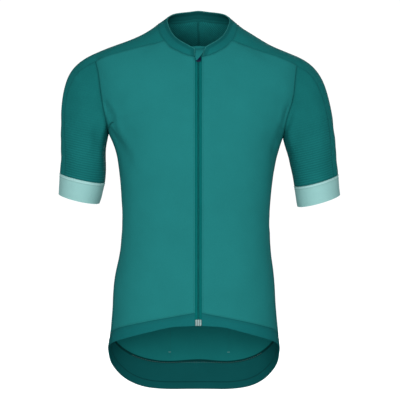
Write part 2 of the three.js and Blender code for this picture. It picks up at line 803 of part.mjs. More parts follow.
// Moves a grid's inner points near one of its rows a share, by column, of the way to their
// neighbours' mean.
function relax(grid, around, shareAt) {
  return grid.map((row, j) =>
    row.map((point, i) => {
      const inside = j > 0 && j < grid.length - 1 && i > 0 && i < row.length - 1;
      if (!inside || Math.abs(j - around) > EASE.reach) return point;
      const near = [grid[j - 1][i], grid[j + 1][i], row[i - 1], row[i + 1]];
      const mean = near.reduce((sum, next) => sum.add(next), new THREE.Vector3()).divideScalar(4);
      const fade = 1 - THREE.MathUtils.smoothstep(Math.abs(j - around), 1, EASE.reach + 1);
      return point.clone().lerp(mean, shareAt(i) * fade);
    }),
  );
}

function ease(rows, around) {
  const release = (i) => {
    const back = THREE.MathUtils.smoothstep(i, EASE.from, EASE.to);
    return THREE.MathUtils.lerp(EASE.release, EASE.backRelease, back);
  };
  let grid = rows;
  for (let k = 0; k < EASE.times; k += 1) {
    grid = relax(relax(grid, around, () => EASE.draw), around, release);
  }
  return grid;
}

// The panels that seams join.
const cloths = [];

// A row of the back, given as each side's places from its side seam to centre back.
function acrossBack(left, right) {
  const points = left.map((spot) => onTorso(LEFT, spot.turn, spot.z));
  const others = right.map((spot) => onTorso(RIGHT, spot.turn, spot.z));
  return [...points, ...reversed(others).slice(1)];
}

function centreLine(lowest, highest, guide) {
  const first = guide[0].z;
  const last = guide[guide.length - 1].z;
  return guide.map((spot) => {
    const z = THREE.MathUtils.mapLinear(spot.z, first, last, lowest, highest);
    return { turn: 180, z };
  });
}

function backHalf(side) {
  const seams = SEAMS[side];
  const low = seams.tailSeam;
  const high = reversed(seams.yoke);
  const middle = centreLine(low[low.length - 1].z, high[high.length - 1].z, seams.sideSeam);
  return patch(low, high, seams.sideSeam, middle);
}

function tailHalf(side) {
  const seams = SEAMS[side];
  const low = seams.tailHem;
  const high = seams.tailSeam;
  const rows = [];
  for (let j = 0; j <= PARTS.band; j += 1) {
    const t = j / PARTS.band;
    rows.push(
      low.map((spot, i) => ({
        turn: THREE.MathUtils.lerp(spot.turn, high[i].turn, t),
        z: THREE.MathUtils.lerp(spot.z, high[i].z, t),
      })),
    );
  }
  return rows;
}

function bandRows(side) {
  const seams = SEAMS[side];
  const rows = [];
  for (let j = 0; j <= PARTS.band; j += 1) {
    const t = j / PARTS.band;
    rows.push(
      seams.frontHem.map((spot, i) => {
        const high = seams.frontSeam[i];
        const turn = THREE.MathUtils.lerp(spot.turn, high.turn, t);
        return onTorso(side, turn, THREE.MathUtils.lerp(spot.z, high.z, t));
      }),
    );
  }
  return rows;
}

for (const side of SIDES) {
  const seams = SEAMS[side];
  const flip = side === RIGHT;
  const name = NAMED[side];
  cloths.push(new Cloth(`front_${name}`, frontRows(side), KNIT_WALL, 'knit', { flip }));
  cloths.push(new Cloth(`hem_front_${name}`, bandRows(side), BAND_WALL, 'band', { flip }));
  const sleeve = sleeveRows(side, seams.armholeBack, -STRIP_TURN, 180);
  const shoulder = ease([...yokeRows(side), ...sleeve.slice(1)], PARTS.shoulder);
  const turned = { flip: !flip };
  cloths.push(new Cloth(`shoulder_sleeve_${name}`, shoulder, KNIT_WALL, 'shoulder', turned));
  const sleeveFront = sleeveRows(side, seams.armholeFront, 180, 360 - STRIP_TURN);
  cloths.push(new Cloth(`sleeve_front_${name}`, sleeveFront, KNIT_WALL, 'rib', turned));
  const cuff = cuffRows(side, ringTurns());
  const around = { flip: !flip, loop: true };
  cloths.push(new Cloth(`cuff_${name}`, cuff, BAND_WALL, 'cuff', around));
}

const backRows = backHalf(LEFT).map((row, j) => acrossBack(row, backHalf(RIGHT)[j]));
cloths.push(new Cloth('back_body', backRows, KNIT_WALL, 'knit'));
const tailRows = tailHalf(LEFT).map((row, j) => acrossBack(row, tailHalf(RIGHT)[j]));
cloths.push(new Cloth('tail_band', tailRows, BAND_WALL, 'band'));

const collarRight = collarHalf(RIGHT);
const collarRows = collarHalf(LEFT).map((row, j) => [...row, ...reversed(collarRight[j]).slice(1)]);
cloths.push(new Cloth('collar_band', collarRows, BAND_WALL, 'band'));

const seamNormals = new Map();
for (const cloth of cloths) cloth.share(seamNormals);
for (const cloth of cloths) {
  cloth.take(seamNormals);
  add(cloth.name, cloth.build(), cloth.finish);
}

// The place on the back that a point of the pocket panel lies over.
function pocketFoot(back, j, i) {
  const middle = (back.rows[0].length - 1) / 2;
  const inner = middle - POCKET.division;
  const outer = middle - POCKET.firstColumn;
  const slope = THREE.MathUtils.clamp((Math.abs(i - middle) - inner) / (outer - inner), 0, 1);
  const spot = back.rows[j][i].clone();
  if (j === POCKET.rows) return spot.lerp(back.rows[j - 1][i], POCKET.dip * slope);
  return spot.lerp(back.rows[j + 1][i], j === 0 ? POCKET.foot : 0);
}

// The pocket panel lies on the back, made from its points, and is sewn to it in three pockets.
function pocketGeometry(back) {
  const lastColumn = back.rows[0].length - 1 - POCKET.firstColumn;
  const divisions = [POCKET.division, back.rows[0].length - 1 - POCKET.division];
  const sewnAt = [POCKET.firstColumn, ...divisions, lastColumn];
  const inner = [];
  const outer = [];
  for (let j = 0; j <= POCKET.rows; j += 1) {
    inner.push([]);
    outer.push([]);
    for (let i = POCKET.firstColumn; i <= lastColumn; i += 1) {
      const pocket = sewnAt.findIndex((column, k) => i >= column && i <= sewnAt[k + 1]);
      const share = (i - sewnAt[pocket]) / (sewnAt[pocket + 1] - sewnAt[pocket]);
      const open = Math.sin(Math.PI * share) * (j / POCKET.rows) ** 2;
      const lift = POCKET.sewn + POCKET.mouth * open;
      const normal = back.normals[j][i];
      inner[j].push(pocketFoot(back, j, i).addScaledVector(normal, lift));
      outer[j].push(pocketFoot(back, j, i).addScaledVector(normal, lift + KNIT_WALL));
    }
  }
  return wallGeometry(outer, inner, false);
}

add('pocket_panel', pocketGeometry(cloths.find((cloth) => cloth.name === 'back_body')), 'knit');

// The zip's line up the front and on up the collar, as a distance forward.
function zipForward(z) {
  const foot = SEAMS[LEFT].neckFront[0].z;
  if (z <= foot) return read(TORSO, 'z', z, 'front');
  const rise = (z - foot) / (COLLAR_TOP[0].z - foot);
  return THREE.MathUtils.lerp(read(TORSO, 'z', foot, 'front'), COLLAR.front, rise);
}

// A point beside the zip: across it, at a height on its line, and a depth inwards.
function byZip(across, z, depth) {
  const step = 2;
  const lean = (zipForward(z + step) - zipForward(z - step)) / (2 * step);
  const inwards = new THREE.Vector3(0, 1, lean).normalize();
  return new THREE.Vector3(across, -zipForward(z), z).addScaledVector(inwards, depth);
}

// Heights level with the rows of the front edges, so that what lies behind them follows them.
function zipLevels(side, low, high) {
  const seams = SEAMS[side];
  const band = bandRows(side).map((row) => row[0].z);
  const edge = frontEdge(side, seams.frontSeam[0].z, seams.neckFront[0].z, seams.outerEdge);
  const all = [...band, ...edge.slice(1).map((spot) => spot.z)];
  return [low, ...all.filter((z) => z > low + ZIP.clear && z < high - ZIP.clear), high];
}

// A solid of convex rings, one above the other.
function stack(rings) {
  const count = rings[0].length;
  const points = rings.flat();
  const faces = [];
  for (let j = 0; j < rings.length - 1; j += 1) {
    for (let i = 0; i < count; i += 1) {
      const a = j * count + i;
      const b = j * count + ((i + 1) % count);
      faces.push(a, b, b + count, a, b + count, a + count);
    }
  }
  const last = (rings.length - 1) * count;
  for (let i = 1; i < count - 1; i += 1) {
    faces.push(0, i + 1, i);
    faces.push(last, last + i, last + i + 1);
  }
  return closed(points, faces);
}

// A bar along the zip through levels { z, half }, with its corners cut, between two depths.
function bar(levels, face, wall, middle = 0) {
  const rings = levels.map(({ z, half }) => {
    const cut = Math.min(wall, half) * BAR_CUT;
    return [
      [half, face + cut],
      [half, face + wall - cut],
      [half - cut, face + wall],
      [cut - half, face + wall],
      [-half, face + wall - cut],
      [-half, face + cut],
      [cut - half, face],
      [half - cut, face],
    ].map(([across, depth]) => byZip(middle + across, z, depth));
  });
  return stack(rings);
}

// A strip along the zip through levels { z, edges }, where edges are distances across it.
function strip(levels, face, wall) {
  const outer = levels.map(({ z, edges }) => edges.map((x) => byZip(x, z, face + sag(x, z))));
  const inner = levels.map(({ z, edges }) => edges.map((x) => byZip(x, z, face + wall + sag(x, z))));
  return wallGeometry(outer, inner, false);
}

// How much deeper than its middle the cloth behind the zip lies, away from its middle.
function sag(across, z) {
  return (across * across) / (2 * read(GUARD_TURN, 'z', z, 'radius'));
}

for (const side of SIDES) {
  const edges = [TAPE.near, FRONT_EDGE, TAPE.far].map((x) => side * x);
  const levels = zipLevels(side, ZIP.bottom, ZIP.top).map((z) => ({ z, edges }));
  add(`zip_tape_${NAMED[side]}`, strip(levels, TAPE.face, TAPE.wall), 'tape');
}

const coilLevels = zipLevels(LEFT, ZIP.bottom, COIL.top).map((z) => ({ z, half: COIL.half }));
add('zip_coil', bar(coilLevels, COIL.face, COIL.deep), 'tape');

const lowerGuard = zipLevels(LEFT, GUARD.bottom, GUARD.upper[0]);
const guardLevels = [...lowerGuard, ...GUARD.upper.slice(1)].map((z) => {
  const half = read(GUARD_TURN, 'z', z, 'half');
  return { z, edges: [-half, -half / 2, 0, half / 2, half] };
});
add('zip_guard', strip(guardLevels, GUARD.face, GUARD.wall), 'guard');

// The garage's wall, square to its path.
function garageGeometry() {
  const layer = (offset) =>
    GARAGE.map((row, j) => {
      const before = GARAGE[Math.max(j - 1, 0)];
      const after = GARAGE[Math.min(j + 1, GARAGE.length - 1)];
      const run = new THREE.Vector2(after.z - before.z, after.depth - before.depth).normalize();
      const z = row.z + run.y * offset;
      const depth = row.depth - run.x * offset;
      const line = [];
      for (let i = 0; i <= GARAGE_COLUMNS; i += 1) {
        const across = THREE.MathUtils.lerp(row.left, row.right, i / GARAGE_COLUMNS);
        line.push(byZip(across, z, depth));
      }
      return line;
    });
  return wallGeometry(layer(0), layer(GARAGE_WALL), false);
}

add('zip_garage', garageGeometry(), 'guard');

// Joins overlapping solids into one.
const wasm = await Module();
wasm.setup();

function solid(geometry) {
  const bare = geometry.clone();
  bare.deleteAttribute('normal');
  bare.deleteAttribute('uv');
  const merged = mergeVertices(bare);
  return new wasm.Manifold(
    new wasm.Mesh({
      numProp: 3,
      vertProperties: merged.attributes.position.array,
      triVerts: new Uint32Array(merged.index.array),
    }),
  );
}

function join(geometries) {
  const mesh = geometries.map(solid).reduce((sum, next) => sum.add(next)).getMesh();
  const geometry = new THREE.BufferGeometry();
  geometry.setAttribute('position', new THREE.BufferAttribute(mesh.vertProperties, 3));
  geometry.setIndex(new THREE.BufferAttribute(mesh.triVerts, 1));
  return geometry;
}

// A bar between two heights, narrower at its ends by a taper.
function block({ top, bottom, half, face, wall, taper }, middle = 0) {
  const levels = [
    { z: bottom, half: half - taper },
    { z: bottom + taper, half },
    { z: top - taper, half },
    { z: top, half: half - taper },
  ];
  return bar(levels, face, wall, middle);
}

const lugs = SIDES.map((side) => block(LUG, side * LUG.across));
add('zip_slider', join([block(SLIDER), block(SLIDER_BACK), block(WEDGE), ...lugs]), 'navy');
add('zip_pull', bar(PULL_OUTLINE, PULL.face, PULL.wall), 'navy');
add('zip_box', block(BOX), 'mint');

export default group;
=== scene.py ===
"""Dresses the cycling jersey: knit cloth on each panel, seams and stitching, the zip, and a studio."""

import logging
import math
from collections import deque
from dataclasses import dataclass, field, replace
from enum import Enum

import bmesh
import bpy
import numpy as np
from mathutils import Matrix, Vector, kdtree, noise
from mathutils.bvhtree import BVHTree


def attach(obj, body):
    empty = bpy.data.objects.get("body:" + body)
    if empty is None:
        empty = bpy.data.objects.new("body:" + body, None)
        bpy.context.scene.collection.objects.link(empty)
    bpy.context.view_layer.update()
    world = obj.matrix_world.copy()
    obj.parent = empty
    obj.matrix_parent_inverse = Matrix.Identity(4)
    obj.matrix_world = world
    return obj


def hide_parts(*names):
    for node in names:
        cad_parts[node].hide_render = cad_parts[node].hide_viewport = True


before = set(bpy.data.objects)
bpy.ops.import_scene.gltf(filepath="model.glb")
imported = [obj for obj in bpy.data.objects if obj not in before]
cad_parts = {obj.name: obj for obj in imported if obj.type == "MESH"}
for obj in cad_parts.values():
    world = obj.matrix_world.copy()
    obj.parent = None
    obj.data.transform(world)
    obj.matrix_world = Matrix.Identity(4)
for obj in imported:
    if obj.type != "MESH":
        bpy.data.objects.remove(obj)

logging.basicConfig(level=logging.INFO, format="%(message)s")
LOG = logging.getLogger("jersey")

MM = 0.001
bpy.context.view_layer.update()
BODY = "jersey"
PULL_BODY = "pull"

FINE = 3

Colour = tuple[float, float, float]
Point2 = tuple[float, float]


class Facing(Enum):
    """The way that a stretch of cloth faces, for creases placed as seen from that side."""

    FRONT = (0.0, -1.0, 0.0)
    BACK = (0.0, 1.0, 0.0)
    LEFT = (1.0, 0.0, 0.0)
    RIGHT = (-1.0, 0.0, 0.0)


class Along(Enum):
    """The way that a knit's ribs run on its piece."""

    LENGTH = "length"
    WIDTH = "width"


class Graph:
    """The nodes of one material, with short calls to add and link them."""

    def __init__(self, name: str) -> None:
        """Starts a material that holds one Principled shader.

        Args:
            name: the material's name.
        """
        self.material = bpy.data.materials.new(name)
        self.material.use_nodes = True
        self.tree = self.material.node_tree
        self.tree.nodes.clear()
        self.output = self.tree.nodes.new("ShaderNodeOutputMaterial")
        self.shader = self.tree.nodes.new("ShaderNodeBsdfPrincipled")
        self.tree.links.new(self.shader.outputs["BSDF"], self.output.inputs["Surface"])

    def node(self, kind: str, settings: dict | None = None, inputs: dict | None = None) -> bpy.types.Node:
        """Adds a node.

        Args:
            kind: the node's type name.
            settings: its attributes and their values.
            inputs: values or sockets for its inputs, by name or number.

        Returns:
            The new node.
        """
        made = self.tree.nodes.new(kind)
        for key, value in (settings or {}).items():
            setattr(made, key, value)
        for key, value in (inputs or {}).items():
            self.feed(made.inputs[key], value)
        return made

    def feed(self, socket: bpy.types.NodeSocket, value: object) -> None:
        """Links a socket to an input, or sets the input to a value."""
        if isinstance(value, bpy.types.NodeSocket):
            self.tree.links.new(value, socket)
        else:
            socket.default_value = value

    def math(self, operation: str, *values: object) -> bpy.types.NodeSocket:
        """Returns the result of a Math node on up to three values."""
        made = self.node("ShaderNodeMath", {"operation": operation}, dict(enumerate(values)))
        return made.outputs[0]

    def ramp(self, value: object, low: float, high: float, start: float = 0.0, end: float = 1.0) -> bpy.types.NodeSocket:
        """Returns a value carried smoothly from one range to another.

        Args:
            value: the value or socket to carry.
            low: where the range starts.
            high: where the range ends.
            start: what low becomes.
            end: what high becomes.

        Returns:
            The Map Range node's output.
        """
        made = self.node(
            "ShaderNodeMapRange",
            {"interpolation_type": "SMOOTHSTEP"},
            {"Value": value, "From Min": low, "From Max": high, "To Min": start, "To Max": end},
        )
        return made.outputs["Result"]

    def mix(self, factor: object, first: object, second: object) -> bpy.types.NodeSocket:
        """Returns a colour between two colours."""
        made = self.node("ShaderNodeMix", {"data_type": "RGBA"}, {0: factor, 6: first, 7: second})
        return made.outputs[2]

    def noise(self, vector: bpy.types.NodeSocket, size: float, detail: float = 2.0) -> bpy.types.NodeSocket:
        """Returns a noise of that size in metres."""
        settings = {"Vector": vector, "Scale": 1.0 / size, "Detail": detail, "Roughness": 0.55}
        return self.node("ShaderNodeTexNoise", None, settings).outputs["Fac"]

    def bump(self, height: bpy.types.NodeSocket, depth: float, strength: float = 1.0) -> None:
        """Gives the shader a bump.

        Args:
            height: the height, from 0 to 1.
            depth: what a height of 1 is in metres.
            strength: how strongly it shows.
        """
        made = self.node("ShaderNodeBump", None, {"Height": height, "Distance": depth, "Strength": strength})
        self.feed(self.shader.inputs["Normal"], made.outputs["Normal"])


def rgba(colour: Colour) -> tuple[float, float, float, float]:
    """Returns a colour with full opacity."""
    return (*colour, 1.0)


@dataclass(frozen=True)
class Ribs:
    """Raised ribs knitted into a cloth, in metres, fainter above a fade height where one is given."""

    period: float
    depth: float
    along: Along
    contrast: float = 0.25
    wander: float = 0.0
    fade: float = 0.0
    faint: float = 0.2


@dataclass(frozen=True)
class KnitFinish:
    """A fine knit: colour, stitches, ribs, sheen and a painted shade line where it is sewn."""

    name: str
    slot: str
    colour: Colour
    shade: Colour
    wale: float = 0.9 * MM
    course: float = 1.1 * MM
    stitch_depth: float = 0.16 * MM
    ribs: Ribs | None = None
    roughness: float = 0.66
    sheen: float = 0.03
    specular: float = 0.015
    seam_width: float = 1.3
    seam_shade: float = 0.3
    # A lighter colour painted on the roll along the seam: a painted highlight.
    roll_highlight: Colour | None = None
    roll_width: float = 3.2
    edge_colour: Colour | None = None
    edge_width: float = 1.0
    # A darker band between two distances from the free edge, and its strength: painted shade on the collar where its
    # top turns inward.
    dark_band: Point2 | None = None
    dark_band_depth: float = 0.25
    # The factor below darkens the inner side's colours: painted shade for the shadowed inside of the hollow, partly the
    # duller wrong side of the knit.
    inside_shade: float = 0.5
    inner_contrast: float = 1.0
    inner_spread: float = 0.0

    def inside(self) -> "KnitFinish":
        """Returns the finish of the cloth's inner side, darker by a set factor: painted shade for the shadowed inside
        of the hollow, partly the duller wrong side of the knit.
        """
        ribs = self.ribs and replace(self.ribs, contrast=self.inner_contrast * self.ribs.contrast)
        return replace(
            self,
            name=f"{self.name}_inside",
            colour=tuple(self.inside_shade * (1 + self.inner_spread) * part for part in self.colour),
            shade=tuple(self.inside_shade * (1 - self.inner_spread) * part for part in self.shade),
            ribs=ribs,
            sheen=0.0,
            specular=0.01,
            seam_shade=0.2,
        )

    def material(self) -> bpy.types.Material:
        """Returns the knit's material, which reads the piece's UV map and distances to its edges."""
        graph = Graph(self.name)
        flat = graph.node("ShaderNodeUVMap", {"uv_map": "cloth"}).outputs["UV"]
        split = graph.node("ShaderNodeSeparateXYZ", None, {0: flat})
        across, along = split.outputs["X"], split.outputs["Y"]
        place = graph.node("ShaderNodeTexCoord").outputs["Object"]

        turn = graph.math("MULTIPLY", across, 2 * math.pi / self.wale)
        leg = graph.math("COSINE", turn)
        rise = graph.math("MULTIPLY_ADD", along, 2 * math.pi / self.course, graph.math("MULTIPLY", leg, 1.3))
        loop = graph.math("SINE", rise)
        stitch = graph.math("MULTIPLY_ADD", graph.math("ADD", leg, loop), 0.25, 0.5)

        mottle = graph.noise(place, 55 * MM)
        yarn = graph.noise(place, 2.4 * MM, 3.0)
        tone = graph.math("MULTIPLY_ADD", mottle, 0.34, graph.math("MULTIPLY", stitch, 0.3))
        tone = graph.math("ADD", tone, graph.math("MULTIPLY", yarn, 0.3))
        height = graph.math("MULTIPLY", stitch, self.stitch_depth)
        height = graph.math("MULTIPLY_ADD", yarn, 0.05 * MM, height)
        if self.ribs:
            run = along if self.ribs.along is Along.WIDTH else across
            sway = graph.math("MULTIPLY", graph.noise(place, 38 * MM), self.ribs.wander)
            rib_turn = graph.math("MULTIPLY_ADD", run, 2 * math.pi / self.ribs.period, sway)
            wave = graph.math("MULTIPLY", graph.math("SINE", rib_turn), 0.5)
            if self.ribs.fade:
                wave = graph.math("MULTIPLY", wave, graph.ramp(along, 0.25 * self.ribs.fade, self.ribs.fade, 1.0, self.ribs.faint))
            tone = graph.math("MULTIPLY_ADD", wave, self.ribs.contrast, tone)
            height = graph.math("MULTIPLY_ADD", wave, self.ribs.depth, height)
        colour = graph.mix(graph.ramp(tone, 0.1, 0.85), rgba(self.shade), rgba(self.colour))

        # Painted shade along the seams: the colour darkens towards each seam, standing in for the shadow in the seam's
        # valley and gap; a piece without to_seam, such as a seam tape, reads 0 and is darkened all over.
        sewn = graph.node("ShaderNodeAttribute", {"attribute_name": "to_seam"}).outputs["Fac"]
        near = graph.ramp(sewn, 0.2, self.seam_width, self.seam_shade, 0.0)
        dark = tuple(0.35 * part for part in self.shade)
        colour = graph.mix(near, colour, rgba(dark))
        if self.roll_highlight:
            colour = self.roll_light_and_shade(graph, colour, sewn)
        if self.edge_colour or self.dark_band:
            free = graph.node("ShaderNodeAttribute", {"attribute_name": "to_edge"}).outputs["Fac"]
            colour = self.edged(graph, colour, free)

        graph.feed(graph.shader.inputs["Base Color"], colour)
        rough = graph.ramp(stitch, 0.0, 1.0, self.roughness + 0.08, self.roughness - 0.05)
        graph.feed(graph.shader.inputs["Roughness"], rough)
        graph.feed(graph.shader.inputs["Sheen Weight"], self.sheen)
        graph.feed(graph.shader.inputs["Sheen Roughness"], 0.4)
        graph.feed(graph.shader.inputs["Sheen Tint"], rgba(tuple(min(1.0, 2.0 * part) for part in self.colour)))
        graph.feed(graph.shader.inputs["Specular IOR Level"], self.specular)
        graph.bump(height, 1.0, 0.8)
        return graph.material

    def roll_light_and_shade(self, graph: Graph, colour: bpy.types.NodeSocket, sewn: bpy.types.NodeSocket) -> bpy.types.NodeSocket:
        """Returns the colour with a painted highlight on the roll along the seam, and a painted shade line under the
        roll.

        Args:
            graph: the material.
            colour: the cloth's colour.
            sewn: the distance from the seam, in millimetres.

        Returns:
            The new colour.
        """
        # Painted highlight on the roll, then a painted shade line under its lip.
        roll = graph.ramp(sewn, 0.8 * self.roll_width, 1.05 * self.roll_width, 1.0, 0.0)
        colour = graph.mix(roll, colour, rgba(self.roll_highlight))
        off = graph.math("ABSOLUTE", graph.math("SUBTRACT", sewn, 1.3 * self.roll_width))
        line = graph.ramp(off, 0.0, 0.35 * self.roll_width, 0.22, 0.0)
        return graph.mix(line, colour, rgba(tuple(0.3 * part for part in self.shade)))

    def edged(self, graph: Graph, colour: bpy.types.NodeSocket, free: bpy.types.NodeSocket) -> bpy.types.NodeSocket:
        """Returns the colour with a pale line along the free edge and a darker band a set distance in from it: painted
        shade on the collar, where its top turns inward, and a darker line above the tail band's hem.

        Args:
            graph: the material.
            colour: the cloth's colour.
            free: the distance from the free edge, in millimetres.

        Returns:
            The new colour.
        """
        # Painted shade on the collar, where the band's top turns inward; on the tail band the same mask draws a darker
        # line 13.6 to 15.4 mm above the hem.
        if self.dark_band:
            low, high = self.dark_band
            soft = 0.3 * (high - low)
            depth = graph.ramp(free, low - soft, low + soft, 0.0, self.dark_band_depth)
            depth = graph.math("MULTIPLY", depth, graph.ramp(free, high - soft, high + soft, 1.0, 0.0))
            colour = graph.mix(depth, colour, (0.0, 0.004, 0.006, 1.0))
        # A pale line drawn in the colour right along the free edge.
        if self.edge_colour:
            pale_edge_line = graph.ramp(free, 0.75 * self.edge_width, 1.15 * self.edge_width, 1.0, 0.0)
            colour = graph.mix(pale_edge_line, colour, rgba(self.edge_colour))
        return colour


@dataclass(frozen=True)
class ThreadFinish:
    """Twisted polyester thread."""

    name: str
    slot: str
    colour: Colour

    def material(self) -> bpy.types.Material:
        """Returns the thread's material, with the twist of its plies."""
        graph = Graph(self.name)
        place = graph.node("ShaderNodeTexCoord").outputs["Object"]
        twist = graph.node("ShaderNodeTexWave", {"bands_direction": "DIAGONAL"}, {"Vector": place, "Scale": 900.0})
        fibre = graph.noise(place, 0.5 * MM)
        dark = tuple(0.6 * part for part in self.colour)
        tone = graph.math("MULTIPLY_ADD", twist.outputs["Fac"], 0.5, graph.math("MULTIPLY", fibre, 0.5))
        graph.feed(graph.shader.inputs["Base Color"], graph.mix(tone, rgba(dark), rgba(self.colour)))
        graph.feed(graph.shader.inputs["Roughness"], 0.6)
        graph.feed(graph.shader.inputs["Specular IOR Level"], 0.1)
        graph.feed(graph.shader.inputs["Sheen Weight"], 0.1)
        graph.feed(graph.shader.inputs["Sheen Tint"], rgba(self.colour))
        graph.bump(twist.outputs["Fac"], 0.06 * MM, 0.6)
        return graph.material


@dataclass(frozen=True)
class GlossFinish:
    """Lacquered metal or moulded plastic, with faint wear, and painted shade as dark lines at a set pitch where one is
    given.
    """

    name: str
    slot: str
    colour: Colour
    roughness: float = 0.32
    metallic: float = 0.0
    coat: float = 0.3
    specular: float = 0.4
    groove_shade_pitch: float = 0.0

    def material(self) -> bpy.types.Material:
        """Returns the hard finish's material."""
        graph = Graph(self.name)
        place = graph.node("ShaderNodeTexCoord").outputs["Object"]
        grain = graph.noise(place, 1.2 * MM, 4.0)
        worn = graph.noise(place, 4 * MM, 3.0)
        pale = tuple(min(1.0, 1.35 * part + 0.003) for part in self.colour)
        colour = graph.mix(graph.ramp(worn, 0.45, 0.75), rgba(self.colour), rgba(pale))
        # Painted shade: dark lines at a set pitch in the colour stand in for the shadow in moulded channels.
        if self.groove_shade_pitch:
            split = graph.node("ShaderNodeSeparateXYZ", None, {0: place})
            wave = graph.math("COSINE", graph.math("MULTIPLY", split.outputs["X"], 2 * math.pi / self.groove_shade_pitch))
            line = graph.ramp(wave, -0.9, -0.3, 0.85, 0.0)
            colour = graph.mix(line, colour, rgba(tuple(0.12 * part for part in self.colour)))
        graph.feed(graph.shader.inputs["Base Color"], colour)
        graph.feed(graph.shader.inputs["Metallic"], self.metallic)
        graph.feed(graph.shader.inputs["Specular IOR Level"], self.specular)
        rough = graph.ramp(grain, 0.3, 0.7, self.roughness - 0.06, self.roughness + 0.1)
        graph.feed(graph.shader.inputs["Roughness"], rough)
        graph.feed(graph.shader.inputs["Coat Weight"], self.coat)
        graph.feed(graph.shader.inputs["Coat Roughness"], 0.2)
        graph.bump(grain, 0.02 * MM, 0.5)
        return graph.material


class Palette:
    """Every finish of the jersey, each with its material made once."""

    FRONT = KnitFinish("smooth_knit", "knit", (0.0175, 0.222, 0.219), (0.013, 0.174, 0.172))
    BACK = KnitFinish("back_knit", "knit", (0.0105, 0.208, 0.205), (0.008, 0.162, 0.16), inside_shade=0.88)
    SHOULDER = KnitFinish(
        "ribbed_shoulder_knit",
        "shoulder",
        (0.0105, 0.188, 0.184),
        (0.008, 0.146, 0.144),
        ribs=Ribs(4.4 * MM, 0.22 * MM, Along.LENGTH, 0.16, 1.2),
        inside_shade=0.85,
        inner_contrast=2.2,
        inner_spread=0.28,
    )
    SLEEVE = KnitFinish(
        "ribbed_sleeve_knit",
        "rib",
        (0.011, 0.184, 0.18),
        (0.0055, 0.112, 0.11),
        ribs=Ribs(4.6 * MM, 0.35 * MM, Along.WIDTH, 0.34, 2.6, fade=0.15, faint=0.12),
    )
    BAND = KnitFinish(
        "firm_band",
        "band",
        (0.0085, 0.158, 0.162),
        (0.006, 0.122, 0.125),
        wale=0.7 * MM,
        course=0.9 * MM,
    )
    TAIL = replace(BAND, name="tail_band_knit", dark_band=(13.6, 15.4), dark_band_depth=0.5, inside_shade=0.62)
    COLLAR = KnitFinish(
        "collar_knit",
        "band",
        (0.0095, 0.178, 0.178),
        (0.0068, 0.14, 0.14),
        wale=0.7 * MM,
        course=0.9 * MM,
        edge_colour=(0.04, 0.26, 0.25),
        edge_width=0.9,
        dark_band=(1.8, 8.5),
        dark_band_depth=0.24,
    )
    CUFF = KnitFinish(
        "pale_band",
        "cuff",
        (0.35, 0.64, 0.62),
        (0.29, 0.55, 0.53),
        wale=0.8 * MM,
        course=0.7 * MM,
        stitch_depth=0.12 * MM,
        seam_width=1.0,
        seam_shade=0.25,
        roll_highlight=(0.42, 0.7, 0.68),
    )
    TAPE = KnitFinish(
        "zip_tape_weave",
        "tape",
        (0.003, 0.165, 0.158),
        (0.002, 0.125, 0.12),
        wale=0.6 * MM,
        course=0.6 * MM,
        roughness=0.7,
        sheen=0.01,
    )
    GUARD = KnitFinish("guard_knit", "guard", (0.014, 0.186, 0.186), (0.01, 0.15, 0.15), wale=0.8 * MM)
    SEAM_TAPE = KnitFinish(
        "seam_tape",
        "knit",
        (0.009, 0.152, 0.149),
        (0.0065, 0.118, 0.116),
        ribs=Ribs(1.6 * MM, 0.25 * MM, Along.WIDTH, 0.5),
        specular=0.01,
    )
    DARK_TAPE = replace(SEAM_TAPE, name="tail_seam_tape", colour=(0.004, 0.062, 0.062), shade=(0.003, 0.045, 0.045))
    THREAD = ThreadFinish("teal_thread", "knit", (0.009, 0.125, 0.125))
    PALE_THREAD = ThreadFinish("pale_thread", "cuff", (0.36, 0.6, 0.58))
    COIL = GlossFinish("zip_coil_nylon", "tape", (0.002, 0.13, 0.125), 0.7, coat=0.0, specular=0.03)
    NAVY = GlossFinish("navy_lacquer", "navy", (0.003, 0.005, 0.03), 0.5, coat=0.05, specular=0.12)
    MINT = GlossFinish("pale_moulding", "mint", (0.24, 0.36, 0.35), 0.5, coat=0.1, specular=0.2, groove_shade_pitch=4.2 * MM)

    def __init__(self) -> None:
        """Starts with no material made."""
        self.made: dict[str, bpy.types.Material] = {}

    def dress(self, piece: bpy.types.Object, finish: KnitFinish | ThreadFinish | GlossFinish) -> None:
        """Gives a piece a finish, in place of any that it has."""
        piece.data.materials.clear()
        piece.data.materials.append(self.material(finish))

    def material(self, finish: KnitFinish | ThreadFinish | GlossFinish) -> bpy.types.Material:
        """Returns a finish's material, made at its first use."""
        if finish.name not in self.made:
            self.made[finish.name] = finish.material()
        return self.made[finish.name]


def pick(piece: bpy.types.Object) -> None:
    """Selects one object alone and makes it the active one."""
    bpy.ops.object.select_all(action="DESELECT")
    piece.select_set(True)
    bpy.context.view_layer.objects.active = piece


def apply_modifier(piece: bpy.types.Object, kind: str, **settings: object) -> None:
    """Adds a modifier to a piece and applies it.

    Args:
        piece: the object.
        kind: the modifier's type.
        settings: the modifier's attributes and their values.
    """
    pick(piece)
    modifier = piece.modifiers.new(kind.title(), kind)
    for key, value in settings.items():
        setattr(modifier, key, value)
    bpy.ops.object.modifier_apply(modifier=modifier.name)


def smooth(piece: bpy.types.Object, degrees: float = 42.0) -> None:
    """Shades a piece smooth but for its sharp edges."""
    pick(piece)
    bpy.ops.object.shade_smooth_by_angle(angle=math.radians(degrees))


def new_piece(name: str, points: list, faces: list) -> bpy.types.Object:
    """Makes an object at the origin from points and faces.

    Args:
        name: the object's name.
        points: its vertices, in metres.
        faces: its faces, each a list of point numbers.

    Returns:
        The new object.
    """
    mesh = bpy.data.meshes.new(name)
    mesh.from_pydata([tuple(point) for point in points], [], faces)
    mesh.update()
    piece = bpy.data.objects.new(name, mesh)
    bpy.context.scene.collection.objects.link(piece)
    return piece


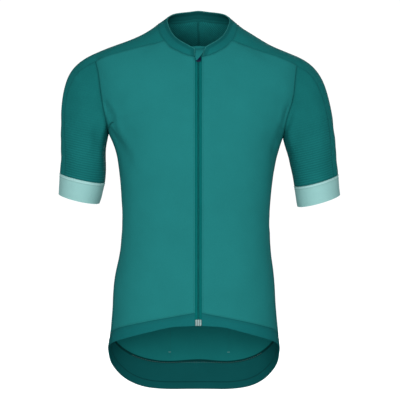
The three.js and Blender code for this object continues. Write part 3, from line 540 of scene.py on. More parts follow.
def inside_of(point: Vector) -> Vector:
    """Returns a place inside the hollow that the cloth at a point goes round."""
    sleeve_x, sleeve_z, chest_z = 0.175, -0.12, -0.15
    if abs(point.x) > sleeve_x and point.z < sleeve_z:
        return Vector((math.copysign(0.215, point.x), 0.008, point.z))
    if point.z > chest_z:
        return Vector((0.6 * point.x, 0.005, min(point.z, -0.09)))
    return Vector((0.0, 0.005, point.z))


class OuterSheet:
    """The outer face of a packed cloth wall, as the grid of four-sided faces that it was made from."""

    RIM = 1.1

    def __init__(self, node: bpy.types.Object, wall: float) -> None:
        """Takes the outer sheet off a CAD node's mesh, which is left as it is.

        Args:
            node: the CAD node's object.
            wall: the thickness of its wall, in metres.
        """
        self.mesh = bmesh.new()
        self.mesh.from_mesh(node.data)
        self.flat = self.mesh.loops.layers.uv.new("cloth")
        bmesh.ops.remove_doubles(self.mesh, verts=self.mesh.verts, dist=0.002 * MM)
        self.mesh.normal_update()
        outer = self.find_outer(wall)
        spare = [face for face in self.mesh.faces if face not in outer]
        bmesh.ops.delete(self.mesh, geom=spare, context="FACES")
        self.drop_diagonals()
        self.number_faces()

    def find_outer(self, wall: float) -> set:
        """Returns the faces of the sheet that faces out.

        Args:
            wall: the thickness that tells the rim's faces from the sheets'.

        Returns:
            The outer sheet's faces.
        """
        rim = {f for f in self.mesh.faces if min(e.calc_length() for e in f.edges) < self.RIM * wall}
        seen = set(rim)
        sheets = []
        for first in self.mesh.faces:
            if first in seen:
                continue
            sheet, todo = [], [first]
            seen.add(first)
            while todo:
                face = todo.pop()
                sheet.append(face)
                for edge in face.edges:
                    for other in edge.link_faces:
                        if other not in seen:
                            seen.add(other)
                            todo.append(other)
            sheets.append(sheet)
        return set(max(sheets, key=self.outwardness))

    @staticmethod
    def outwardness(sheet: list) -> float:
        """Returns how far a sheet's faces look away from the hollow."""
        total = 0.0
        for face in sheet:
            middle = face.calc_center_median()
            total += face.calc_area() * face.normal.dot(middle - inside_of(middle))
        return total

    def drop_diagonals(self) -> None:
        """Dissolves the diagonal of each grid cell, which is the kind of edge that no border has."""
        first = next(iter(self.mesh.faces))
        kinds = {loop: k for k, loop in enumerate(first.loops)}
        todo = deque([first])
        seen = {first}
        while todo:
            face = todo.popleft()
            for loop in face.loops:
                across = loop.link_loop_radial_next
                if across is loop or across.face in seen:
                    continue
                kind = kinds[loop]
                kinds[across] = kind
                kinds[across.link_loop_next] = (kind + 1) % 3
                kinds[across.link_loop_prev] = (kind + 2) % 3
                seen.add(across.face)
                todo.append(across.face)
        borders = {kind for loop, kind in kinds.items() if loop.edge.is_boundary}
        diagonal = ({0, 1, 2} - borders).pop()
        edges = list({loop.edge for loop, kind in kinds.items() if kind == diagonal})
        bmesh.ops.dissolve_edges(self.mesh, edges=edges, use_verts=False)

    def number_faces(self) -> None:
        """Gives each face its column and row, and lays the cloth flat in a UV map by lengths along both."""
        self.mesh.faces.ensure_lookup_table()
        first = self.mesh.faces[0]
        foot = {first: first.loops[0]}
        cell = {first: (0, 0)}
        todo = deque([first])
        steps = ((0, -1), (1, 0), (0, 1), (-1, 0))
        while todo:
            face = todo.popleft()
            loop = foot[face]
            for k, (right, up) in enumerate(steps):
                across = loop.link_loop_radial_next
                if across is not loop and across.face not in foot:
                    other = across.face
                    turned = across
                    for _ in range((k + 2) % 4):
                        turned = turned.link_loop_prev
                    foot[other] = turned
                    cell[other] = (cell[face][0] + right, cell[face][1] + up)
                    todo.append(other)
                loop = loop.link_loop_next
        self.lay_flat(foot, cell)

    def lay_flat(self, foot: dict, cell: dict) -> None:
        """Writes the UV map.

        Args:
            foot: each face's lower loop.
            cell: each face's column and row.
        """
        corner = {}
        spots = {}
        for face, (i, j) in cell.items():
            loop = foot[face]
            for right, up in ((0, 0), (1, 0), (1, 1), (0, 1)):
                corner[loop] = (i + right, j + up)
                spots[(i + right, j + up)] = loop.vert.co
                loop = loop.link_loop_next
        rise = [0.0, 0.0]
        for (i, j), spot in spots.items():
            for k, other in enumerate(((i + 1, j), (i, j + 1))):
                if other in spots:
                    rise[k] += (spots[other].z - spot.z) / max((spots[other] - spot).length, 1e-6)
        upright = 0 if abs(rise[0]) > abs(rise[1]) else 1
        across = self.lengths(spots, 1 - upright, 0.0)
        along = self.lengths(spots, upright, math.copysign(1.0, rise[upright]))
        for loop, key in corner.items():
            loop[self.flat].uv = (across[key], along[key])

    @staticmethod
    def lengths(spots: dict, axis: int, sense: float) -> dict:
        """Measures the cloth along one way of its grid.

        Args:
            spots: the place of each grid point.
            axis: 0 for along the rows, 1 for along the columns.
            sense: 0 to measure from the grid's middle, or the sign of the way up, to measure from its foot.

        Returns:
            The length at each grid point, in metres.
        """
        lines: dict[int, list] = {}
        for key in spots:
            lines.setdefault(key[1 - axis], []).append(key)
        numbers = [key[axis] for key in spots]
        middle = round(np.mean(numbers))
        if sense:
            middle = min(numbers) if sense > 0 else max(numbers)
        result = {}
        for line in lines.values():
            line.sort(key=lambda key: key[axis])
            total, run = 0.0, {}
            for k, key in enumerate(line):
                if k:
                    total += (spots[key] - spots[line[k - 1]]).length
                run[key] = total
            start = min(line, key=lambda key: abs(key[axis] - middle))
            for key in line:
                result[key] = (run[key] - run[start]) * (sense or 1.0)
        return result


@dataclass(frozen=True)
class Crease:
    """A soft trough with a low ridge on each side, placed as seen from one side, in millimetres."""

    facing: Facing
    start: Point2
    end: Point2
    width: float
    depth: float
    bow: float = 0.0
    ridge: float = 0.4

    def push(self, places: np.ndarray, normals: np.ndarray) -> np.ndarray:
        """Returns how far each place moves out along its normal.

        Args:
            places: points of the cloth, in metres.
            normals: the cloth's normals there.

        Returns:
            The distances, in metres, mostly negative.
        """
        facing = np.array(self.facing.value)
        level = 0 if facing[1] else 1
        flat = places[:, (level, 2)] / MM
        start, end = np.array(self.start), np.array(self.end)
        run = end - start
        length = np.linalg.norm(run)
        run = run / length
        side = np.array((-run[1], run[0]))
        share = (flat - start) @ run / length
        inside = np.clip(share, 0.0, 1.0)
        wave = self.bow * 4 * inside * (1 - inside) + 0.18 * self.width * np.sin(9 * inside + self.depth)
        off = ((flat - start) @ side - wave) / self.width
        taper = np.sin(np.pi * np.clip(share, 0.0, 1.0)) ** 0.75
        swell = 0.8 + 0.2 * np.sin(5.3 * inside + self.width)
        trough = -np.exp(-(off**2)) + self.ridge * np.exp(-(((np.abs(off) - 1.75) / 0.75) ** 2))
        towards = np.clip((normals @ facing - 0.12) / 0.4, 0.0, 1.0)
        return self.depth * MM * trough * taper * swell * towards


class CreaseMap:
    """All the creases of the worn cloth, and its slight unevenness."""

    ZIP_PUCKERS = (-118, -161, -213, -259, -307, -351, -399, -446, -493, -530)

    CREASES = [
        Crease(Facing.FRONT, (-186, -146), (-158, -226), 8, 4.4, 4),
        Crease(Facing.FRONT, (181, -154), (160, -232), 8, 4.0, -4),
        Crease(Facing.FRONT, (-166, -142), (-112, -118), 13, 1.5, 5),
        Crease(Facing.FRONT, (165, -150), (120, -124), 14, 1.3, -5),
        Crease(Facing.FRONT, (-158, -196), (-118, -236), 12, 1.1, 3),
        Crease(Facing.FRONT, (156, -202), (124, -246), 11, 0.9, -3),
        Crease(Facing.FRONT, (-42, -96), (-56, -226), 22, 0.8, 6),
        Crease(Facing.FRONT, (46, -112), (62, -250), 24, 0.7, -6),
        Crease(Facing.FRONT, (-136, -370), (-86, -390), 12, 0.7, 3),
        Crease(Facing.FRONT, (-138, -398), (-100, -406), 10, 0.5, 2),
        Crease(Facing.FRONT, (130, -358), (84, -381), 12, 0.7, -3),
        Crease(Facing.FRONT, (133, -393), (96, -399), 10, 0.5, -2),
        Crease(Facing.FRONT, (-96, -440), (-60, -530), 16, 0.7, 5),
        Crease(Facing.FRONT, (88, -430), (66, -520), 18, 0.7, -5),
        Crease(Facing.FRONT, (-9, -554), (-62, -567), 3.4, 1.2, 2, 0.7),
        Crease(Facing.FRONT, (-16, -546), (-48, -552), 3.0, 0.7, 1, 0.6),
        Crease(Facing.FRONT, (8, -554), (46, -560), 3.4, 1.1, -2, 0.7),
        Crease(Facing.FRONT, (18, -547), (66, -558), 3.0, 0.7, -1, 0.6),
        Crease(Facing.BACK, (-173, -160), (-146, -246), 9, 3.8, 4),
        Crease(Facing.BACK, (172, -166), (148, -250), 9, 3.6, -4),
        Crease(Facing.BACK, (-152, -148), (-96, -232), 14, 2.0, 6),
        Crease(Facing.BACK, (150, -156), (99, -238), 15, 1.8, -6),
        Crease(Facing.BACK, (-118, -196), (-70, -250), 12, 1.1, 4),
        Crease(Facing.BACK, (-96, -392), (66, -404), 10, 2.0, 6),
        Crease(Facing.BACK, (-58, -366), (92, -376), 9, 1.5, -5),
        Crease(Facing.BACK, (-104, -424), (-14, -431), 8, 1.3, 3),
        Crease(Facing.BACK, (34, -418), (112, -428), 8, 1.1, -3),
        Crease(Facing.BACK, (0, -60), (4, -150), 18, 0.7, 4),
        Crease(Facing.BACK, (-74, -520), (-58, -640), 15, 0.8, 4),
        Crease(Facing.BACK, (70, -500), (60, -628), 15, 0.8, -4),
        Crease(Facing.BACK, (-30, -660), (-26, -712), 10, 0.7, 2),
        Crease(Facing.BACK, (-57, -670), (-57, -432), 3.2, 0.6, 0, 0.2),
        Crease(Facing.BACK, (61.5, -670), (61.5, -432), 3.2, 0.6, 0, 0.2),
        Crease(Facing.LEFT, (-20, -350), (45, -362), 12, 0.8, 4),
        Crease(Facing.LEFT, (-12, -384), (62, -398), 12, 0.9, 4),
        Crease(Facing.LEFT, (-10, -420), (50, -428), 11, 0.6, 2),
        Crease(Facing.RIGHT, (-18, -356), (42, -366), 12, 0.8, -4),
        Crease(Facing.RIGHT, (-10, -392), (64, -404), 12, 0.9, 4),
        Crease(Facing.RIGHT, (-4, -428), (52, -434), 11, 0.6, 2),
        Crease(Facing.FRONT, (-190, -188), (-202, -262), 8, 2.2, 3),
        Crease(Facing.FRONT, (-196, -172), (-234, -196), 10, 1.3, 3),
        Crease(Facing.FRONT, (-196, -236), (-246, -244), 8, 0.9, 3),
        Crease(Facing.FRONT, (189, -190), (199, -268), 8, 2.0, -3),
        Crease(Facing.FRONT, (197, -178), (232, -204), 10, 1.2, -3),
        Crease(Facing.FRONT, (202, -246), (250, -252), 8, 0.8, -3),
        Crease(Facing.BACK, (-198, -190), (-236, -214), 10, 1.8, 3),
        Crease(Facing.BACK, (-200, -232), (-250, -242), 9, 1.4, 3),
        Crease(Facing.BACK, (200, -186), (238, -208), 10, 1.7, -3),
        Crease(Facing.BACK, (202, -240), (252, -252), 9, 1.3, -3),
        Crease(Facing.LEFT, (-28, -196), (34, -214), 11, 1.0, 4),
        Crease(Facing.LEFT, (-20, -262), (44, -270), 9, 0.9, 3),
        Crease(Facing.RIGHT, (-26, -188), (32, -202), 11, 1.0, 4),
        Crease(Facing.RIGHT, (-22, -254), (40, -266), 9, 1.0, 3),
    ]

    def __init__(self) -> None:
        """Adds the short puckers on both sides of the zip to the creases."""
        self.creases = list(self.CREASES)
        for k, z in enumerate(self.ZIP_PUCKERS):
            for side in (-1, 1):
                reach = 17 + 5 * math.sin(2.1 * k + side)
                drop = 2 * math.sin(1.7 * k - side)
                self.creases.append(
                    Crease(Facing.FRONT, (side * 2, z + 9 * side), (side * (6.4 + reach), z + 9 * side + drop), 4.5, 0.45)
                )

    def push(self, places: np.ndarray, normals: np.ndarray) -> np.ndarray:
        """Returns how far each place moves out along its normal, in metres.

        Args:
            places: points of the cloth, in metres.
            normals: the cloth's normals there.

        Returns:
            The distances.
        """
        total = np.zeros(len(places))
        for crease in self.creases:
            total += crease.push(places, normals)
        return total

    @staticmethod
    def unevenness(places: np.ndarray) -> np.ndarray:
        """Returns how far the cloth's slight unevenness moves each place, in metres."""
        calm = np.clip((np.abs(places[:, 0]) - 6 * MM) / (30 * MM), 0.0, 1.0)
        calm = np.where(places[:, 1] > 0, 1.0, calm)
        wide = np.array([noise.noise(Vector(place) / 0.09) for place in places])
        fine = np.array([noise.noise(Vector(place) / 0.031) for place in places])
        return calm * MM * (0.9 * wide + 0.28 * fine)


class EdgeKind(Enum):
    """What a piece's border does."""

    SEWN = "sewn"
    FREE = "free"


@dataclass
class Chain:
    """A stretch of a piece's border between two corners."""

    kind: EdgeKind
    points: np.ndarray
    normals: np.ndarray
    inwards: np.ndarray


@dataclass(frozen=True)
class StitchRow:
    """A row of stitches a set distance in from one kind of border, whole or between two widths."""

    kind: EdgeKind
    offset: float
    inner: bool = False
    pale: bool = False
    sparse: bool = False
    span: Point2 = (0.0, 1.0)


@dataclass(frozen=True)
class StitchLine:
    """A straight line of stitches on the back, between two places seen from behind, in millimetres."""

    start: Point2
    end: Point2
    inner: bool = False
    pale: bool = False
    step: float = 4.0

    def places(self) -> list[Vector]:
        """Returns points along the line, behind the cloth, in metres."""
        start, end = Vector(self.start), Vector(self.end)
        count = max(2, round((end - start).length / self.step))
        spots = [start.lerp(end, k / count) for k in range(count + 1)]
        return [Vector((spot.x * MM, 1.0, spot.y * MM)) for spot in spots]


@dataclass(frozen=True)
class Thread:
    """A run of stitches to sew: points and normals on the cloth, and how it looks."""

    points: np.ndarray
    normals: np.ndarray
    pale: bool
    sparse: bool = False


@dataclass
class ClothPiece:
    """One cut piece of cloth: its sheet, borders, creases, thickness, stitches and finish."""

    SETTLING = 2
    OVER_TAPE = 0.75 * MM
    SEAM_STIFF = 7.0
    SEAM_GIVE = 0.1

    node: str
    finish: KnitFinish
    flat: Point2
    area: float
    wall: float = 1.2 * MM
    creased: bool = True
    rows: tuple[StitchRow, ...] = ()
    lines: tuple[StitchLine, ...] = ()
    corner: float = 50.0
    extra_fine: int = 0
    rib_depth: float = 0.0
    valley: float = 0.5 * MM
    valley_width: float = 2.6 * MM
    tape: KnitFinish = Palette.SEAM_TAPE
    piece: bpy.types.Object | None = field(init=False, default=None)
    chains: list[Chain] = field(init=False, default_factory=list)
    stitches: int = field(init=False, default=0)

    def cut(self) -> None:
        """Makes the sheet from its CAD node and subdivides it."""
        sheet = OuterSheet(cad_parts[self.node], self.wall).mesh
        mesh = bpy.data.meshes.new(f"cloth_{self.node}")
        sheet.to_mesh(mesh)
        sheet.free()
        self.piece = bpy.data.objects.new(f"cloth_{self.node}", mesh)
        bpy.context.scene.collection.objects.link(self.piece)
        self.hold_shape()
        self.subdivide(self.piece, FINE + self.extra_fine)

    @staticmethod
    def subdivide(piece: bpy.types.Object, levels: int) -> None:
        """Subdivides a sheet smoothly, keeping its corners."""
        apply_modifier(
            piece,
            "SUBSURF",
            levels=levels,
            render_levels=levels,
            boundary_smooth="PRESERVE_CORNERS",
            uv_smooth="PRESERVE_BOUNDARIES",
        )

    def hold_shape(self) -> None:
        """Moves the coarse sheet's points so that the subdivided sheet goes through where they were."""
        mesh = self.piece.data
        count = len(mesh.vertices)
        aim = np.empty(3 * count)
        mesh.vertices.foreach_get("co", aim)
        for _ in range(self.SETTLING):
            trial = bpy.data.objects.new("trial", mesh.copy())
            bpy.context.scene.collection.objects.link(trial)
            self.subdivide(trial, 1)
            reached = np.empty(3 * len(trial.data.vertices))
            trial.data.vertices.foreach_get("co", reached)
            bpy.data.objects.remove(trial)
            now = np.empty(3 * count)
            mesh.vertices.foreach_get("co", now)
            mesh.vertices.foreach_set("co", now + aim - reached[: 3 * count])
        mesh.update()

    def places(self) -> tuple[np.ndarray, np.ndarray]:
        """Returns the sheet's points and normals."""
        count = len(self.piece.data.vertices)
        spots, normals = np.empty(3 * count), np.empty(3 * count)
        self.piece.data.vertices.foreach_get("co", spots)
        self.piece.data.vertex_normals.foreach_get("vector", normals)
        return spots.reshape(-1, 3), normals.reshape(-1, 3)

    def borders(self) -> list[list[int]]:
        """Returns the border's points in order, parted at its corners."""
        mesh = bmesh.new()
        mesh.from_mesh(self.piece.data)
        mesh.verts.ensure_lookup_table()
        following = {}
        for edge in mesh.edges:
            if edge.is_boundary:
                loop = edge.link_loops[0]
                following[loop.vert.index] = loop.link_loop_next.vert.index
        spots = [vert.co.copy() for vert in mesh.verts]
        mesh.free()
        parts = []
        left = set(following)
        while left:
            first = left.pop()
            ring = [first]
            while following[ring[-1]] != first:
                ring.append(following[ring[-1]])
                left.discard(ring[-1])
            parts += self.split(ring, spots)
        return parts

    def split(self, ring: list[int], spots: list[Vector]) -> list[list[int]]:
        """Parts a closed border at its corners.

        Args:
            ring: the border's points in order.
            spots: the place of every point.

        Returns:
            The stretches, each with both its corners, or the whole ring where it has none.
        """
        count = len(ring)
        corners = []
        for k in range(count):
            before = spots[ring[k]] - spots[ring[k - 1]]
            after = spots[ring[(k + 1) % count]] - spots[ring[k]]
            if before.length and after.length and before.angle(after) > math.radians(self.corner):
                corners.append(k)
        if not corners:
            return [ring + ring[:1]]
        stretches = []
        for k, low in enumerate(corners):
            high = corners[(k + 1) % len(corners)]
            steps = (high - low) % count or count
            stretches.append([ring[(low + step) % count] for step in range(steps + 1)])
        return stretches

    def find_chains(self, others: kdtree.KDTree, reach: float = 2.4 * MM) -> None:
        """Finds the sheet's borders and tells sewn ones from free ones.

        Args:
            others: the border points of all the other pieces.
            reach: how near another piece's border has to be for a seam.
        """
        spots, normals = self.places()
        mesh = bmesh.new()
        mesh.from_mesh(self.piece.data)
        mesh.verts.ensure_lookup_table()
        inner = np.array([self.inward(mesh.verts[k]) if mesh.verts[k].is_boundary else (0, 0, 0) for k in range(len(spots))])
        mesh.free()
        for stretch in self.borders():
            near = [others.find(spots[k])[2] < reach for k in stretch[1:-1]] or [False]
            start = 0
            for k in range(1, len(near) + 1):
                if k == len(near) or near[k] != near[start]:
                    part = stretch[start : k + 2]
                    kind = EdgeKind.SEWN if near[start] else EdgeKind.FREE
                    if len(part) > 4:
                        self.chains.append(Chain(kind, spots[part], normals[part], inner[part]))
                    start = k

    @staticmethod
    def inward(vert: bmesh.types.BMVert) -> Vector:
        """Returns the way from a border point into its sheet."""
        middle = sum((face.calc_center_median() for face in vert.link_faces), Vector())
        way = middle / max(len(vert.link_faces), 1) - vert.co
        edges = [edge for edge in vert.link_edges if edge.is_boundary]
        if len(edges) == 2:
            tangent = (edges[0].other_vert(vert).co - edges[1].other_vert(vert).co).normalized()
            way = way - tangent * way.dot(tangent)
        way = way - vert.normal * way.dot(vert.normal)
        return way.normalized()

    def distances(self, spots: np.ndarray, kind: EdgeKind, far: float = 20.0) -> np.ndarray:
        """Measures how far each point is from a kind of border.

        Args:
            spots: the points.
            kind: the kind of border.
            far: the most that is told, in millimetres.

        Returns:
            The distances, in millimetres.
        """
        marks = []
        for chain in self.chains:
            if chain.kind is kind:
                for share in (0.0, 0.33, 0.67):
                    marks.append(chain.points[:-1] * (1 - share) + chain.points[1:] * share)
        if not marks:
            return np.full(len(spots), far)
        marks = np.vstack(marks)
        tree = kdtree.KDTree(len(marks))
        for k, mark in enumerate(marks):
            tree.insert(mark, k)
        tree.balance()
        return np.array([min(far, tree.find(spot)[2] / MM) for spot in spots])

    def shape(self, creases: CreaseMap) -> None:
        """Presses creases, ribs and seams into the sheet, and notes the distances that its finish reads."""
        spots, normals = self.places()
        to_seam = self.distances(spots, EdgeKind.SEWN)
        to_edge = self.distances(spots, EdgeKind.FREE)
        push = np.zeros(len(spots))
        if self.creased:
            stiff = self.SEAM_GIVE + (1 - self.SEAM_GIVE) * np.clip(to_seam / self.SEAM_STIFF, 0.0, 1.0)
            push = creases.push(spots, normals) * stiff + creases.unevenness(spots)
        if self.rib_depth:
            push += self.ribbing() * np.clip(to_seam / 5.0, 0.0, 1.0)
        dip = np.clip(1 - to_seam * MM / self.valley_width, 0.0, 1.0)
        push -= self.valley * dip**2
        moved = spots + normals * push[:, None]
        for chain in self.chains:
            chain.points = self.follow(chain.points, spots, moved)
        self.piece.data.vertices.foreach_set("co", moved.ravel())
        for name, values in (("to_seam", to_seam), ("to_edge", to_edge)):
            layer = self.piece.data.attributes.new(name, "FLOAT", "POINT")
            layer.data.foreach_set("value", values)
        self.piece.data.update()

    def ribbing(self) -> np.ndarray:
        """Returns the height of the knit's ribs at each point, in metres."""
        data = self.piece.data
        flat = np.empty(2 * len(data.loops))
        data.uv_layers["cloth"].data.foreach_get("uv", flat)
        corner = np.empty(len(data.loops), dtype=int)
        data.loops.foreach_get("vertex_index", corner)
        places = np.zeros((len(data.vertices), 2))
        places[corner] = flat.reshape(-1, 2)
        ribs = self.finish.ribs
        run = places[:, 1] if ribs.along is Along.WIDTH else places[:, 0]
        height = self.rib_depth * np.sin(2 * np.pi * run / ribs.period)
        if ribs.fade:
            height *= np.clip(1.33 * (1 - places[:, 1] / ribs.fade), ribs.faint, 1.0)
        return height

    @staticmethod
    def follow(points: np.ndarray, before: np.ndarray, after: np.ndarray) -> np.ndarray:
        """Returns a chain's points where its sheet has moved to."""
        tree = kdtree.KDTree(len(before))
        for k, spot in enumerate(before):
            tree.insert(spot, k)
        tree.balance()
        return np.array([after[tree.find(point)[1]] for point in points])

    def threads(self) -> list[Thread]:
        """Returns all the runs of stitches on the piece."""
        tree = BVHTree.FromObject(self.piece, bpy.context.evaluated_depsgraph_get())
        threads = []
        for row in self.rows:
            for chain in self.chains:
                if chain.kind is row.kind:
                    spots = [Vector(point + way * row.offset) for point, way in zip(chain.points, chain.inwards)]
                    hits = [tree.find_nearest(spot) for spot in spots if row.span[0] <= abs(spot.x) <= row.span[1]]
                    threads += self.thread(hits, row)
        for line in self.lines:
            hits = [tree.ray_cast(spot, Vector((0.0, -1.0, 0.0))) for spot in line.places()]
            threads += self.thread([hit for hit in hits if hit[0] and hit[0].y > 0], line)
        return threads

    def thread(self, hits: list, row: StitchRow | StitchLine) -> list[Thread]:
        """Returns one run of stitches, or none where it is too short.

        Args:
            hits: the places and normals on the sheet.
            row: how the run is sewn.

        Returns:
            A list of none or one.
        """
        if len(hits) < 3:
            return []
        sparse = getattr(row, "sparse", False)
        sign, depth = (-1.0, self.wall) if row.inner else (1.0, 0.0)
        if sparse:
            depth += self.OVER_TAPE
        points = np.array([place - normal * depth for place, normal, *_ in hits])
        normals = np.array([normal * sign for _, normal, *_ in hits])
        return [Thread(points, normals, row.pale, sparse)]

    def thicken(self) -> None:
        """Gives the sheet its wall, inwards, with the second material on its inner side."""
        for _ in range(2):
            self.piece.data.materials.append(None)
        apply_modifier(
            self.piece,
            "SOLIDIFY",
            thickness=self.wall,
            offset=-1.0,
            use_rim=True,
            material_offset=1,
        )
        smooth(self.piece)

    def finish_off(self, palette: Palette, with_pieces: list[bpy.types.Object]) -> None:
        """Dresses the piece, hangs it from the jersey's body and hides its CAD node.

        Args:
            palette: the finishes.
            with_pieces: the stitches and tapes on it; not used.
        """
        inner = [face.index for face in self.piece.data.polygons if face.material_index]
        palette.dress(self.piece, self.finish)
        self.piece.data.materials.append(palette.material(self.finish.inside()))
        for index in inner:
            self.piece.data.polygons[index].material_index = 1
        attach(self.piece, BODY)
        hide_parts(self.node)
        LOG.info("%s: %d faces, %d stitches", self.piece.name, len(self.piece.data.polygons), self.stitches)


@dataclass
class Stitching:
    """Sewn stitches as short raised threads, joined into one mesh for each piece of cloth."""

    pitch: float = 2.5 * MM
    length: float = 1.9 * MM
    sparse_pitch: float = 5.0 * MM
    sparse_length: float = 1.3 * MM
    radius: float = 0.24 * MM
    sparse_radius: float = 0.42 * MM
    lift: float = 0.1 * MM
    sides: int = 5

    def sew(self, name: str, threads: list[Thread]) -> bpy.types.Object | None:
        """Makes the stitches along some threads.

        Args:
            name: the piece's name.
            threads: the runs of stitches.

        Returns:
            The stitches, or None where no run is long enough.
        """
        points, faces = [], []
        for thread in threads:
            pitch = self.sparse_pitch if thread.sparse else self.pitch
            length = self.sparse_length if thread.sparse else self.length
            steps = np.linalg.norm(np.diff(thread.points, axis=0), axis=1)
            run = np.concatenate(([0.0], np.cumsum(steps)))
            for k in range(int(run[-1] / pitch)):
                low = (k + 0.12) * pitch
                ends = [self.at(run, thread.points, low), self.at(run, thread.points, low + length)]
                normal = self.at(run, thread.normals, low + length / 2)
                self.add_stitch(points, faces, ends, normal, self.sparse_radius if thread.sparse else self.radius)
        if not points:
            return None
        piece = new_piece(name, points, faces)
        smooth(piece, 80)
        return piece

    @staticmethod
    def at(run: np.ndarray, values: np.ndarray, where: float) -> np.ndarray:
        """Returns a line's value some way along it."""
        return np.array([np.interp(where, run, values[:, k]) for k in range(3)])

    def add_stitch(self, points: list, faces: list, ends: list[np.ndarray], normal: np.ndarray, radius: float) -> None:
        """Adds one stitch, a thread that dips into the cloth at both ends.

        Args:
            points: the mesh's points so far.
            faces: the mesh's faces so far.
            ends: where the stitch goes in and comes out.
            normal: the cloth's normal under it.
            radius: the thread's radius.
        """
        run = ends[1] - ends[0]
        size = np.linalg.norm(run)
        if size < 1e-6:
            return
        run = run / size
        normal = normal / max(np.linalg.norm(normal), 1e-9)
        side = np.cross(run, normal)
        first = len(points)
        for share, thick, rise in ((0.0, 0.35, -1.2), (0.22, 1.0, 0.4), (0.78, 1.0, 0.4), (1.0, 0.35, -1.2)):
            middle = ends[0] + run * size * share + normal * (self.lift + rise * radius)
            for k in range(self.sides):
                turn = 2 * math.pi * k / self.sides
                ring = side * math.cos(turn) + normal * math.sin(turn)
                points.append(middle + ring * radius * thick)
        for level in range(3):
            low = first + level * self.sides
            for k in range(self.sides):
                after = (k + 1) % self.sides
                faces.append([low + k, low + after, low + self.sides + after, low + self.sides + k])
        faces.append([first + k for k in reversed(range(self.sides))])
        faces.append([first + 3 * self.sides + k for k in range(self.sides)])


class ClothSurface:
    """All the shaped sheets together, to find what lies under the inner side of the nearest."""

    def __init__(self, cloth: list[ClothPiece]) -> None:
        """Gathers the sheets.

        Args:
            cloth: the pieces, shaped but not yet thick.
        """
        points, faces, self.walls = [], [], []
        for piece in cloth:
            spots, _ = piece.places()
            first = len(points)
            points += [Vector(spot) for spot in spots]
            for face in piece.piece.data.polygons:
                faces.append([first + k for k in face.vertices])
                self.walls.append(piece.wall)
        self.tree = BVHTree.FromPolygons(points, faces)

    def under(self, point: Vector, gap: float) -> Vector:
        """Returns the place that far under the inner side of the cloth nearest to a point."""
        place, normal, face, _ = self.tree.find_nearest(point)
        return place - normal * (self.walls[face] + gap)


@dataclass
class SeamTapes:
    """The overlocked seam allowances inside, which also close each seam."""

    half: float = 2.1 * MM
    gap: float = 0.12 * MM
    wall: float = 0.6 * MM
    overrun: float = 2.5 * MM

    def make(self, cloth: ClothPiece, surface: ClothSurface, taken: kdtree.KDTree | None) -> bpy.types.Object | None:
        """Makes one piece's seam tapes.

        Args:
            cloth: the piece whose sewn borders get them.
            surface: all the sheets.
            taken: the borders that have theirs already, or None.

        Returns:
            The tapes, or None where all its seams have theirs.
        """
        mesh = bmesh.new()
        layer = mesh.loops.layers.uv.new("cloth")
        open_edges = [chain.points for chain in cloth.chains if chain.kind is EdgeKind.FREE]
        borders = np.vstack(open_edges) if open_edges else np.full((1, 3), 9.0)
        for chain in cloth.chains:
            if chain.kind is not EdgeKind.SEWN:
                continue
            free = [taken is None or taken.find(point)[2] > 2.4 * MM for point in chain.points]
            start = None
            for k, fits in enumerate([*free, False]):
                if fits and start is None:
                    start = k
                elif not fits and start is not None:
                    if k - start > 4:
                        run = self.lengthened(chain, slice(start, k), borders)
                        self.strip(mesh, layer, run, surface)
                    start = None
        if not mesh.faces:
            mesh.free()
            return None
        data = bpy.data.meshes.new(f"seams_{cloth.node}")
        mesh.to_mesh(data)
        mesh.free()
        piece = bpy.data.objects.new(data.name, data)
        bpy.context.scene.collection.objects.link(piece)
        apply_modifier(piece, "SOLIDIFY", thickness=self.wall, offset=-1.0, use_rim=True)
        smooth(piece)
        return piece

    def lengthened(self, chain: Chain, part: slice, borders: np.ndarray) -> Chain:
        """Returns a stretch of seam, run on a little at each end that isn't at an open border.

        Args:
            chain: the border.
            part: which of its points.
            borders: the points of the piece's open borders.

        Returns:
            The stretch.
        """
        points, normals, inwards = chain.points[part], chain.normals[part], chain.inwards[part]
        for end, after, place in ((0, 1, 0), (-1, -2, len(points))):
            if np.min(np.linalg.norm(borders - points[end], axis=1)) < 2 * self.half:
                continue
            way = points[end] - points[after]
            spot = points[end] + way / max(np.linalg.norm(way), 1e-9) * self.overrun
            end_normal, end_inward = normals[end], inwards[end]
            at = place if place == 0 else len(points)
            points = np.insert(points, at, spot, axis=0)
            normals = np.insert(normals, at, end_normal, axis=0)
            inwards = np.insert(inwards, at, end_inward, axis=0)
        return Chain(chain.kind, points, normals, inwards)

    def strip(self, mesh: bmesh.types.BMesh, layer: object, chain: Chain, surface: ClothSurface) -> None:
        """Adds a strip under one stretch of seam.

        Args:
            mesh: the tapes' mesh.
            layer: its UV map.
            chain: the stretch of seam.
            surface: all the sheets.
        """
        points, normals, inwards = chain.points, chain.normals, chain.inwards
        run = np.concatenate(([0.0], np.cumsum(np.linalg.norm(np.diff(points, axis=0), axis=1))))
        rows = []
        for point, way in zip(points, inwards):
            spots = [Vector(point + way * self.half * share) for share in (-1.0, -0.35, 0.35, 1.0)]
            rows.append([mesh.verts.new(surface.under(spot, self.gap)) for spot in spots])
        for k in range(len(rows) - 1):
            for j in range(3):
                corners = ((k, j), (k, j + 1), (k + 1, j + 1), (k + 1, j))
                face = mesh.faces.new([rows[a][b] for a, b in corners])
                face.normal_update()
                if face.normal.dot(Vector(normals[k])) < 0:
                    face.normal_flip()
                for loop in face.loops:
                    a, b = next((a, b) for a, b in corners if rows[a][b] is loop.vert)
                    loop[layer].uv = (b * 2 * MM, run[a])


